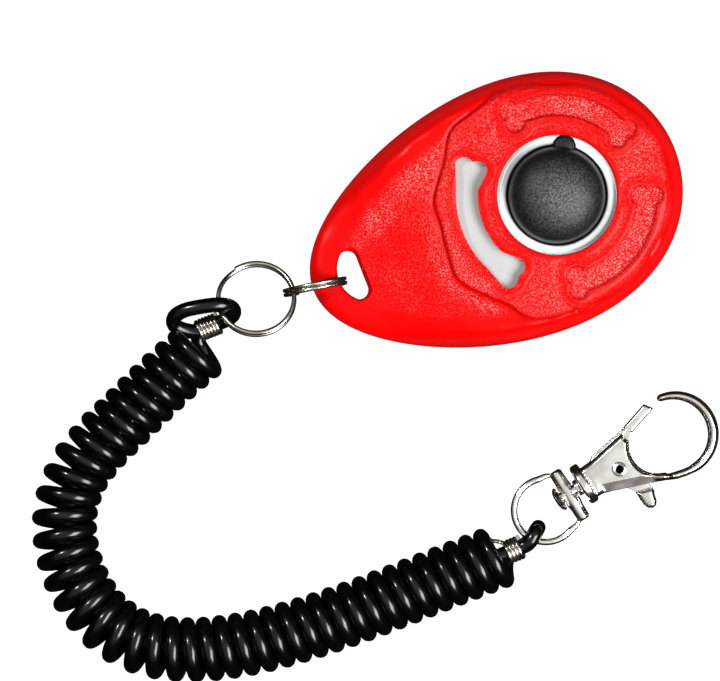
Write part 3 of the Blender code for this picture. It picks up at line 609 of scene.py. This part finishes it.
def make_back(material):
    columns = 240
    turn = np.linspace(0, 2 * np.pi, columns, endpoint=False)
    rings, grain_and_sparkle_rows = [], []

    def add(inset, height, share=1.0, grain_and_sparkle=0.0):
        x, y = outline_points(turn, inset)
        x, y = BUTTON_X + (x - BUTTON_X) * share, y * share
        z = height(x, y) if callable(height) else height
        rings.append(np.stack([x, y, z + 0 * x], axis=1))
        grain_and_sparkle_rows.append(np.zeros(columns) + grain_and_sparkle)

    # the lip of the seam, the flank and the back
    add(4.0, PART_BASE, 0.3)
    add(2.2, PART_BASE)
    add(0.2, PART_BASE)
    add(0.0, PART_BASE - 0.2)
    shoulder = PART_BASE - SHOULDER
    for bend in np.radians(np.linspace(0, 90, 16)):
        add(BASE_FLANK * (1 - math.cos(bend)),
            lambda x, y: shoulder + (base_height(x, y) - shoulder) * math.sin(bend),
            grain_and_sparkle=float(np.clip(math.sin(bend) * 6 - 5, 0, 1)))
    for share in (0.92, 0.84, 0.76, 0.68, 0.6, 0.5, 0.3, 0.1):
        add(BASE_FLANK, base_height, share, 1.0)
    cover = add_mesh("case_back", *loft([ring.tolist() for ring in rings]), material, 0)
    # this attribute also sets where the red material paints its sparkle highlights
    set_values(cover, "grain_and_sparkle", np.concatenate(grain_and_sparkle_rows))
    inner_wall = outline_points(np.linspace(0, 2 * np.pi, 160, endpoint=False), 3.6)
    hollow = [(x, y) for x, y in zip(*inner_wall) if x > CAVITY_END]
    combine(cover, add_mesh("hollow_cutter", *prism(hollow, 2.6, 9.0)))
    for x, y, seat, _ in CASE_SCREWS:
        combine(cover, add_mesh("recess_cutter", *cylinder((x, y), 2.5, -1.0, seat, 64)))
        combine(cover, add_mesh("bore_cutter", *cylinder((x, y), 1.3, -1.0, 8.0, 40)))
    combine(cover, lanyard_hole())
    shade(cover, SHARP_EDGE)
    return finish_piece(cover, "case", "red_plastic", "bottom_cover")


def ear_place():
    return arc((BUTTON_X, 0.0), EAR_RADIUS, EAR_AZIMUTH, EAR_AZIMUTH, 1)[0]


def make_bezel(shaded_plate_material, lit_ring_material):
    """The silver plate, with a coved wall that rises round the button."""
    cove = [(8.85, 12.5), (8.9, 12.7), (9.05, 12.82), (9.4, 12.88), (9.85, 12.92)]
    cove += [(9.85 + 0.5 * math.sin(a), 12.92 + 0.8 * (1 - math.cos(a)))
             for a in np.radians(range(15, 91, 15))]
    profile = [(8.85, 10.9), *cove, (10.4, 13.8), (10.4, 12.1), (11.0, 12.0), (18.6, 12.0),
               (18.6, 10.9)]
    shape = moved(turned(profile, 160, closed=True), Matrix.Translation((BUTTON_X, 0, 0)))
    plate = add_mesh("bezel", *shape, shaded_plate_material, 40)
    combine(plate, add_mesh("ear_cutter", *cylinder(ear_place(), 2.0, 9.0, 15.0, 48)))
    for x, y, _, _ in CASE_SCREWS[1:]:
        combine(plate, add_mesh("boss_cutter", *cylinder((x, y), 2.9, 9.0, 15.0)))
    # the ring round the button takes a lighter copy of the silver paint, painted light against the
    # shade of the hole; the plate takes a darker copy, painted shade
    plate.data.materials.append(lit_ring_material)
    for face in plate.data.polygons:
        if math.hypot(face.center.x / M - BUTTON_X, face.center.y / M) < BUTTON_HOLE:
            face.material_index = 1
    return finish_piece(plate, "case", "silver_finish", "bezel_plate")


def make_button(material):
    """A domed cap on a flanged skirt, with an index ear at its edge and a plunger below."""
    profile = [(0.0, 17.0), (7.0, 15.4), (7.0, 9.95), (9.8, 9.95), (9.8, 10.75), (8.45, 10.8),
               (8.45, 13.4), (8.36, 14.2), (8.2, 15.0)]
    for rise in (0.12, 0.25, 0.38, 0.5, 0.62, 0.72, 0.81, 0.87, 0.91, 0.94, 0.965, 0.98, 0.99,
                 0.996, 0.999):
        profile.append((8.15 * (1 - rise ** 2) ** 0.46, 15.2 + 4.77 * rise))
    profile.append((0.0, 19.97))
    shape = moved(turned(profile), Matrix.Translation((BUTTON_X, 0, 0)))
    body = add_mesh("push_button", *shape, material, 50)
    knob = [(0.0, 10.2), (1.7, 10.2), (1.7, 13.3), (1.62, 13.6), (1.3, 13.75), (0.0, 13.78)]
    ear = moved(turned(knob, 48), Matrix.Translation((*ear_place(), 0)))
    combine(body, add_mesh("ear", *ear), "UNION")
    combine(body, add_mesh("plunger", *cylinder((BUTTON_X, 0.0), 1.9, 9.1, 17.2)), "UNION")
    body.data.set_sharp_from_angle(angle=math.radians(50))
    # painted highlight: a grey glow on the crown, a little off its centre
    painted_highlight = []
    for vertex in body.data.vertices:
        x, y, z = vertex.co / M
        reach = math.hypot(x - BUTTON_X - 0.3, y + 0.4) / 7.4
        painted_highlight.append(0.72 * max(0.0, 1 - reach) ** 1.2 * (z > 14.0))
    set_values(body, "painted_highlight", painted_highlight)
    return finish_piece(body, "button", "black_plastic", "button")


def make_case_screws(material):
    """Three cross-headed screws, seen from the back."""
    for number, (x, y, seat, tip) in enumerate(CASE_SCREWS, 1):
        low = seat - 1.5
        profile = [(0.0, low), (1.5, low + 0.03), (1.95, low + 0.2), (2.1, low + 0.5),
                   (2.1, seat - 0.3), (1.0, seat - 0.3), (1.0, tip - 0.5), (0.3, tip), (0.0, tip)]
        shape = moved(turned(profile, 48), Matrix.Translation((x, y, 0)))
        screw = add_mesh(f"screw_{number}", *shape, material)
        slot = prism([(-1.2, -0.22), (1.2, -0.22), (1.2, 0.22), (-1.2, 0.22)], low - 1, low + 0.7)
        for spin in (25.0, 115.0):
            turn = Matrix.Translation((x, y, 0)) @ Matrix.Rotation(math.radians(spin), 4, "Z")
            combine(screw, add_mesh("slot_cutter", *moved(slot, turn)))
        finish_piece(screw, "case", "spring_steel", f"case_screw_{number}")


# ---------------------------------------------------------------- rings and cord

def split_ring(name, centre, yaw, tilt, mid_radius, wire, split, material):
    """Nearly two turns of wire, with a step where the second climbs onto the first."""
    a, b = math.radians(yaw), math.radians(tilt)
    level = Vector((math.cos(a), math.sin(a), 0.0))
    rise = Vector((-math.sin(a) * math.cos(b), math.cos(a) * math.cos(b), -math.sin(b)))
    normal = level.cross(rise)
    first, painted_sheen_band, step, steps = split + 27.0, 666.0, split + 335.0, 320
    points = []
    for i in range(steps + 1):
        turn = first + painted_sheen_band * i / steps
        climb = 2 * float(smoothstep(0.0, 50.0, turn - step)) - 1
        w = math.radians(turn)
        points.append(Vector(centre) + mid_radius * (math.cos(w) * level + math.sin(w) * rise)
                      + normal * 1.06 * wire * climb)
    return add_tube(name, points, wire, material, 5)


CORD_RADIUS, COIL_RADIUS = 1.34, 4.46           # the cord, and the middle of its coil
RING_EYE = (
    (-52.2, 0.84, 4.9), (-53.8, 0.84, 4.9), (-55.6, 0.84, 4.9), (-57.4, 1.7, 5.3),
    (-58.9, 3.3, 6.1), (-58.3, 4.7, 7.3), (-56.2, 5.1, 8.2), (-53.6, 4.7, 8.7),
    (-51.1, 4.1, 8.7), (-49.4, 3.4, 8.0), (-48.4, 2.45, 6.4), (-48.5, 1.5, 4.5),
    (-49.5, 0.95, 2.9), (-51.0, 0.84, 2.15), (-52.4, 0.84, 2.1), (-54.0, 0.84, 2.1),
    (-55.4, 0.84, 2.1),
)
CLASP_EYE = (
    (-18.6, -55.2, 2.4), (-16.6, -55.2, 2.3), (-15.4, -55.1, 2.1), (-14.3, -54.5, 1.8),
    (-13.1, -53.5, 2.4), (-12.6, -53.1, 4.0), (-13.1, -53.5, 5.6), (-14.3, -54.5, 6.2),
    (-15.4, -55.1, 5.9), (-16.6, -55.2, 5.7), (-18.6, -55.2, 5.6), (-20.9, -55.2, 5.6),
)
COIL_ROUTE = (
    (-55.9, -2.15), (-59.0, -3.2), (-63.2, -4.7), (-68.1, -6.7), (-73.0, -8.8), (-78.6, -11.2),
    (-84.0, -14.4), (-88.4, -19.4), (-90.8, -25.6), (-91.3, -32.6), (-89.8, -39.4), (-86.3, -44.9),
    (-81.6, -48.6), (-76.5, -51.0), (-70.6, -52.7), (-64.2, -53.9), (-56.3, -54.7), (-48.1, -55.1),
    (-40.2, -55.2), (-32.2, -55.2), (-20.7, -55.25),
)
COIL_HEIGHT = 5.8


def route_frames(count=900, window=41):
    """Distances, places and eased headings at even steps along the coil's route."""
    path = smooth_route([(x, y, COIL_HEIGHT) for x, y in COIL_ROUTE], 0.5)
    spots = np.array([tuple(p) for p in path])
    along = np.concatenate([[0], np.cumsum(np.linalg.norm(np.diff(spots, axis=0), axis=1))])
    even = np.linspace(0, along[-1], count)
    spots = np.stack([np.interp(even, along, spots[:, k]) for k in range(3)], axis=1)
    ahead = np.gradient(spots, even, axis=0)
    ahead /= np.linalg.norm(ahead, axis=1)[:, None]
    padded = np.pad(ahead, ((window // 2, window // 2), (0, 0)), mode="edge")
    weights = np.ones(window) / window
    ahead = np.stack([np.convolve(padded[:, k], weights, "valid") for k in range(3)], axis=1)
    ahead /= np.linalg.norm(ahead, axis=1)[:, None]
    return even, spots, ahead


def helix(turns, start, per_turn=26):
    """The coil: a helix about the route, with its turns further apart where the route bends."""
    even, spots, ahead = route_frames()
    bend = np.linalg.norm(np.gradient(ahead, even, axis=0), axis=1)
    density = 1 / (1 + 0.9 * bend * COIL_RADIUS)
    wound = np.concatenate([[0], np.cumsum((density[1:] + density[:-1]) / 2 * np.diff(even))])
    wound *= turns / wound[-1]
    up = np.array((0, 0, 1))
    points = []
    total = int(turns * per_turn)
    for i in range(total + 1):
        turn = turns * i / total
        where = np.interp(turn, wound, even)
        centre = np.array([np.interp(where, even, spots[:, k]) for k in range(3)])
        forward = np.array([np.interp(where, even, ahead[:, k]) for k in range(3)])
        left = np.cross(up, forward)
        left /= np.linalg.norm(left)
        a = math.radians(start + 360.0 * turn)
        points.append(centre + COIL_RADIUS * (math.cos(a) * left + math.sin(a) * up))
    return points


def make_cord(material):
    """One cord: the loop at the ring end, the coil, and the loop at the clasp end."""
    coil = [Vector(point) for point in helix(43.0, 236.0)][2:]
    first, last = smooth_route(RING_EYE, 0.6), smooth_route(CLASP_EYE, 0.6)
    lead_in = bridge(first[-1], first[-1] - first[-2], coil[0], coil[1] - coil[0])
    lead_out = bridge(coil[-1], coil[-1] - coil[-2], last[0], last[1] - last[0])
    points = [*first, *lead_in, *coil, *lead_out, *last]
    join, leave = len(first), len(points) - len(last) - len(lead_out)
    points = relaxed(points, join - 5, join + 12, 1.9, 60)
    points = relaxed(points, leave - 6, leave + 14, 2.8, 120)
    cord = add_tube("wrist_cord", points, CORD_RADIUS, material, 6)
    return finish_piece(cord, "lanyard", "black_cord", "coil_cord", "ring_end_eye", "clasp_end_eye")


def make_ferrule(name, centre, spacing, half_length, wire, tail, node, material):
    """A sleeve of wire wound round two strands, each this spacing from the middle, with a tail."""
    radius = CORD_RADIUS + 0.05 + wire
    straight, curve = 2 * spacing, math.pi * radius
    around = 2 * (straight + curve)
    turns = int(2 * half_length / (2 * wire * 1.04))
    per_turn = 40
    total = turns * per_turn
    points = []
    for i in range(total + 1):
        s = (i / per_turn % 1.0) * around
        if s < curve:
            a = s / radius
            y, z = radius * math.cos(a), spacing + radius * math.sin(a)
        elif s < curve + straight:
            y, z = -radius, spacing - (s - curve)
        elif s < 2 * curve + straight:
            a = math.pi + (s - curve - straight) / radius
            y, z = radius * math.cos(a), -spacing + radius * math.sin(a)
        else:
            y, z = radius, -spacing + (s - 2 * curve - straight)
        x = -half_length + wire + (2 * half_length - 2 * wire) * i / total
        points.append((centre[0] + x, centre[1] + y, centre[2] + z))
    end = Vector(points[0]) + Vector(tail)
    points = [end, (Vector(points[0]) + end) / 2 + Vector((0, 0.1, -0.1)), *points]
    sleeve = add_tube(name, points, wire, material, 4)
    return finish_piece(sleeve, "lanyard", "nickel_wire", node)


# ---------------------------------------------------------------- clasp

# The clasp lies along its own X axis, from the D-ring to the bow, at 11 degrees to the case's.
CLASP = Matrix.Translation((-2.24, -48.9, 4.0)) @ Matrix.Rotation(math.radians(11.0), 4, "Z")
PIN_PLACE = (6.54, -1.1)           # the trigger's axis
BOW_CENTRE = (17.95, -1.2)
BAR_PLACE, BAR_MIDDLE = -3.3, -0.34


def clasp_mesh(name, shape, material=None):
    return add_mesh(name, *moved(shape, CLASP), material)


def along_axis(shape):
    return moved(shape, Matrix.Rotation(math.radians(90), 4, "Y"))


def inset(outline, amount):
    """The outline moved inwards at every corner. The outline runs anticlockwise."""
    made = []
    for before, here, after in zip(outline[-1:] + outline[:-1], outline, outline[1:] + outline[:1]):
        back, ahead = Vector(here) - Vector(before), Vector(after) - Vector(here)
        normals = [Vector((-edge.y, edge.x)).normalized() for edge in (back, ahead)]
        middle = (normals[0] + normals[1]) / max(0.6, 1 + normals[0].dot(normals[1]))
        made.append(tuple(Vector(here) + amount * middle))
    return made


def pillow(outline, low, high, edge, drop):
    """An upright prism whose edges are rounded off, by edge inwards and by drop in height."""
    area = sum(a[0] * b[1] - b[0] * a[1] for a, b in zip(outline, outline[1:] + outline[:1]))
    outline = outline if area > 0 else outline[::-1]
    rings = []
    for side, end in ((-1, low), (1, high)):
        for turn in (90, 68, 45, 22, 0)[::-side]:
            a = math.radians(turn)
            height = end - side * drop * (1 - math.sin(a))
            rings.append([(x, y, height) for x, y in inset(outline, edge * (1 - math.cos(a)))])
    return loft(rings)


def swept(points, widths, high, sides=20):
    """A bar with an oval section that lies flat in the clasp's plane, narrowed at its ends."""
    path = [Vector((*p, 0.0)) for p in points]
    up = Vector((0, 0, 1))
    rings = []
    for i, point in enumerate(path):
        ahead = (path[min(i + 1, len(path) - 1)] - path[max(i - 1, 0)]).normalized()
        side = Vector((-ahead.y, ahead.x, 0.0))
        share = (0.35, 0.8, 1.0)[min(i, len(path) - 1 - i, 2)]
        turns = [2 * math.pi * k / sides for k in range(sides)]
        rings.append([point + share * (widths[i] * math.cos(a) * side + high * math.sin(a) * up)
                      for a in turns])
    return loft(rings)


def make_swivel_eye(material):
    """The D-ring: a bent wire on a thick cross bar with a bore for the rivet."""
    bar = [(1.2 * math.cos(a), 1.3 * math.sin(a)) for a in np.radians(range(0, 360, 15))]
    rings = []
    for t, share in ((-5.0, 0.7), (-4.6, 0.95), (-2.4, 1.0), (-1.6, 1.12), (1.6, 1.12), (2.4, 1.0),
                     (4.6, 0.95), (5.0, 0.7)):
        rings.append([(BAR_PLACE + s * share, BAR_MIDDLE + t, z * share) for s, z in bar])
    eye = clasp_mesh("swivel_eye", loft(rings))
    bow = [(BAR_PLACE, 3.9), (-5.0, 4.75), *arc((-8.26, BAR_MIDDLE), 5.57, 72.0, 288.0, 70),
           (-5.0, -5.43), (BAR_PLACE, -4.6)]
    combine(eye, clasp_mesh("bow", swept(bow, [0.6] * len(bow), 0.62)), "UNION")
    bore = along_axis(cylinder((0.0, 0.0), 1.2, -6.0, -1.0))
    combine(eye, clasp_mesh("eye_bore", bore))
    smooth_cast(eye, 0.11, 4, material)
    return finish_piece(eye, "swivel_eye", "clasp_plating", "d_ring")


def make_rivet(material):
    """The swivel's post, with its domed head inside the D-ring."""
    profile = [(0.0, -5.95), (0.9, -5.92), (1.6, -5.75), (2.05, -5.45), (2.2, -5.1), (2.05, -4.85),
               (1.1, -4.8), (0.95, -4.6), (0.95, 1.3), (0.0, 1.3)]
    rivet = clasp_mesh("swivel_rivet", along_axis(turned(profile, 64)), material)
    return finish_piece(rivet, "hook", "clasp_plating", "swivel_post")


def slope_side(hook):
    """Slopes the upper face of the hook's body down towards its lower side."""
    back = CLASP.inverted()
    for vertex in hook.data.vertices:
        s, t, z = back @ (vertex.co / M)
        share = float(smoothstep(1.5, 2.6, s) * (1 - smoothstep(10.5, 13.0, s)))
        inside = 0.353 * (s - 0.6) + 0.9356 * (t + 2.7)        # distance from the lower side
        limit = 2.35 - 0.45 * max(0.0, 1.75 - inside)
        if share > 0 and z > limit:
            vertex.co = (CLASP @ Vector((s, t, z + (limit - z) * share))) * M


def make_hook(material):
    """The hook: flange and neck, a slotted wedge-shaped body and a round bow."""
    wedge = [(0.4, -3.15), (2.0, -3.25), (9.9, -6.25), (12.6, -7.25), (14.0, -7.3), (13.0, -6.0),
             *arc((14.51, -1.2), 5.0, 240.0, 140.0, 30),
             (10.25, 3.9), (9.9, 3.95), (2.9, 2.75), (0.4, 2.6)]
    hook = clasp_mesh("clasp_hook", pillow(wedge, -2.35, 2.35, 1.25, 1.15))
    bow = [(11.3, -6.0), (12.8, -6.85), (14.4, -7.45), (16.0, -7.85), (17.4, -8.05)]
    widths = [0.7] * len(bow)
    for turn in np.radians(np.linspace(266.0, 444.0, 70)):
        heading = Vector((math.cos(turn), math.sin(turn)))
        outer = (Vector((0.26, -0.1)) + 7.49 * heading).length
        inner = (Vector((-0.25, 0.11)) + 6.17 * heading).length
        bow.append(tuple(Vector(BOW_CENTRE) + (outer + inner) / 2 * heading))
        widths.append((outer - inner) / 2 + 0.05)
    combine(hook, clasp_mesh("bow", swept(bow, widths, 1.35)), "UNION")
    strip = [(0.5, 2.5), (2.9, 2.75), (3.6, 3.35), (10.9, 4.5), (11.2, 3.9), (10.2, 3.4)]
    combine(hook, clasp_mesh("strip", prism(strip, -1.75, 1.6)), "UNION")
    profile = [(0.0, -1.8), (1.5, -1.8), (1.5, -1.0), (3.4, -0.95), (3.8, -0.6), (3.8, 0.45),
               (3.5, 0.75), (0.0, 0.8)]
    combine(hook, clasp_mesh("flange", along_axis(turned(profile, 64))), "UNION")
    combine(hook, clasp_mesh("socket", along_axis(cylinder((0.0, 0.0), 1.2, -3.0, 1.7))))
    gap = [(3.2, -12.0), (11.25, -12.0), (11.25, 8.0), (3.2, 8.0)]
    combine(hook, clasp_mesh("slot", prism(gap, -1.35, 1.35)))
    smooth_cast(hook, 0.12, 8, material)
    slope_side(hook)
    combine(hook, clasp_mesh("pin_hole", cylinder(PIN_PLACE, 0.85, -4.0, 4.0)))
    shade(hook, 60)
    return finish_piece(hook, "hook", "clasp_plating", "hook_body")


def make_trigger(material):
    """The gate inside the bow and the grooved thumb lever, in one piece on the pin."""
    gate = [(11.6, 3.0), (17.2, 4.75), (16.3, 6.1), (10.6, 4.45)]
    front = [(6.6, 1.3), (4.6, 0.0), (4.4, -2.0), (5.6, -4.2), (6.9, -6.0), (6.7, -7.8)]
    back = [(9.7, -7.8), (9.7, -6.9), (9.2, -3.2), (9.0, -0.8)]
    trigger = clasp_mesh("clasp_trigger", prism(gate + front + back, -1.08, 1.08))
    gate_bar = [(10.9, 4.6), (16.25, 6.15), (17.3, 4.65), (11.8, 3.05)]
    combine(trigger, clasp_mesh("gate_bar", pillow(gate_bar, -1.2, 1.3, 0.5, 0.5)), "UNION")
    lever = [(6.75, -6.1), (6.8, -8.7), (7.15, -9.6), (7.9, -10.05), (8.6, -9.95), (9.1, -9.3),
             (9.75, -7.0)]
    combine(trigger, clasp_mesh("lever", pillow(lever, -1.9, 1.9, 0.85, 0.8)), "UNION")
    smooth_cast(trigger, 0.09, 3, material)
    for i in range(5):
        t = -7.5 - 0.46 * i
        groove = [(6.2, t - 0.11), (8.5, t + 0.12), (8.5, t + 0.34), (6.2, t + 0.11)]
        combine(trigger, clasp_mesh("groove", prism(groove, 1.45, 4.0)))
    combine(trigger, clasp_mesh("bore", cylinder(PIN_PLACE, 0.95, -4.0, 4.0)))
    combine(trigger, clasp_mesh("pocket", cylinder(PIN_PLACE, 1.75, 0.0, 4.0)))
    shade(trigger, 60)
    return finish_piece(trigger, "trigger", "clasp_plating", "trigger")


def make_pin(material):
    """The trigger's rolled pin, hollow from its upper end, with painted shade inside the hollow."""
    profile = [(0.0, -3.0), (1.0, -2.95), (1.25, -2.8), (1.25, -2.65), (0.7, -2.6), (0.7, 2.45),
               (1.2, 2.5), (1.28, 2.68), (1.15, 2.9), (0.95, 2.98), (0.74, 2.9), (0.66, 2.6),
               (0.55, -1.5), (0.0, -1.5)]
    shape = moved(turned(profile, 48), Matrix.Translation((*PIN_PLACE, 0.0)))
    pin = clasp_mesh("clasp_pin", shape, material)
    # painted shade: a dark material for the faces inside the hollow
    pin.data.materials.append(new_material("pin_bore_painted_shade", (0.02, 0.017, 0.015), 0.7, 0.0, 0.1)[0])
    axis = CLASP @ Vector((*PIN_PLACE, 0.0))
    for face in pin.data.polygons:
        middle = face.center / M - axis
        if math.hypot(middle.x, middle.y) < 0.72 and middle.z > -1.6:
            face.material_index = 1
    return finish_piece(pin, "hook", "clasp_plating", "trigger_pin")


# ---------------------------------------------------------------- light and floor

def add_light(name, place, target, size, size_y, power, shape):
    """An area light at place that faces target, in watts."""
    data = bpy.data.lights.new(name, "AREA")
    data.shape = shape
    data.size, data.size_y = size * M, size_y * M
    data.energy = power
    lamp = bpy.data.objects.new(name, data)
    lamp.location = Vector(place) * M
    facing = Vector(target) * M - lamp.location
    lamp.rotation_euler = facing.to_track_quat("-Z", "Y").to_euler()
    bpy.context.scene.collection.objects.link(lamp)


def make_sky():
    """A sky that is white overhead and nearly black down to the horizon and below."""
    world = bpy.data.worlds.new("studio")
    bpy.context.scene.world = world
    world.use_nodes = True
    tree = world.node_tree
    back = tree.nodes["Background"]
    back.inputs["Strength"].default_value = 0.72
    coord = tree.nodes.new("ShaderNodeTexCoord")
    split = tree.nodes.new("ShaderNodeSeparateXYZ")
    tree.links.new(coord.outputs["Generated"], split.inputs["Vector"])
    colour = ramp(tree, split.outputs["Z"], 0.52, 0.99, (0.018, 0.013, 0.009), (1.0, 1.0, 1.0))
    tree.links.new(colour, back.inputs["Color"])


def make_floor():
    """A white floor that glows a little, far enough down for the lanyard to swing above it."""
    size, level = 4000.0, -112.0
    corners = [(x * size, y * size, level) for x, y in ((-1, -1), (1, -1), (1, 1), (-1, 1))]
    floor = add_mesh("floor", corners, [(0, 1, 2, 3)])
    floor.visible_glossy = False
    material, _, shader = new_material("floor", (0.15, 0.15, 0.15), 0.9, specular=0.0)
    shader.inputs["Emission Color"].default_value = (1.0, 1.0, 1.0, 1.0)
    shader.inputs["Emission Strength"].default_value = 0.93
    floor.data.materials.append(material)


def make_studio():
    """A softbox low on the right of the view, a small lamp on its left, a sky and a floor."""
    centre = Vector((-29.6, -11.0, 0.0))
    softbox = centre + 330 * VIEW_RIGHT - 150 * VIEW_UP + Vector((0, 0, 430))
    aim = centre + 20 * VIEW_RIGHT - 20 * VIEW_UP
    add_light("softbox", softbox, aim, 400, 270, 6.0, "RECTANGLE")
    spot = centre - 300 * VIEW_RIGHT + 230 * VIEW_UP + Vector((0, 0, 420))
    add_light("spot", spot, centre, 60, 60, 1.7, "DISK")
    make_sky()
    make_floor()
    bpy.context.scene.view_settings.view_transform = "Standard"


def dress(node, material):
    """Gives a CAD part that stays as it is its material."""
    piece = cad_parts[node]
    piece.data.materials.clear()
    piece.data.materials.append(material)


def main():
    make_camera()
    nickel = plated("nickel_wire", (0.50, 0.47, 0.41), 0.20, 0.30)
    chrome = plated("clasp_chrome", (0.90, 0.87, 0.82), 0.14, 0.22)
    steel = plated("strip_steel", (0.6, 0.6, 0.58), 0.22, 0.4)
    red = red_material()

    cord = make_cord(cord_black())
    ring_ferrule = make_ferrule(
        "ring_ferrule", centre=(-53.4, 0.84, 3.5), spacing=1.4, half_length=2.15, wire=0.32,
        tail=(-0.9, -1.5, 0.9), node="ring_end_ferrule", material=nickel)
    clasp_ferrule = make_ferrule(
        "clasp_ferrule", centre=(-17.85, -55.2, 4.0), spacing=1.65, half_length=1.7, wire=0.38,
        tail=(-1.9, 1.3, 1.6), node="clasp_end_ferrule", material=nickel)
    small = split_ring("small_ring_wire", centre=(-33.5, 0.55, 5.9), yaw=-9.75, tilt=92.0,
                       mid_radius=5.4, wire=0.36, split=100.0, material=nickel)
    finish_piece(small, "small_ring", "nickel_wire", "small_split_ring")
    large = split_ring("large_ring_wire", centre=(-43.9, 2.35, 5.35), yaw=-21.5, tilt=24.0,
                       mid_radius=6.65, wire=0.42, split=151.0, material=nickel)
    finish_piece(large, "large_ring", "nickel_wire", "large_split_ring")
    makers = (make_swivel_eye, make_rivet, make_hook, make_trigger, make_pin)
    pieces = [make(chrome) for make in makers]
    dress("trigger_spring", steel)

    for cover in (make_top(red), make_back(red)):
        cover.visible_glossy = False
    # one silver paint in two copies: darker for the plate as painted shade, lighter for the ring as
    # painted light
    make_bezel(silver_paint("silver_plate_painted_shade", (0.42, 0.44, 0.44)),
               silver_paint("silver_ring_painted_light", (0.86, 0.88, 0.89)))
    make_button(black_plastic())
    make_case_screws(steel)
    for node in ("click_strip", "strip_screw"):
        dress(node, steel)
    dress("strip_holder", plain_grey())

    make_studio()
    bpy.context.view_layer.update()


main()
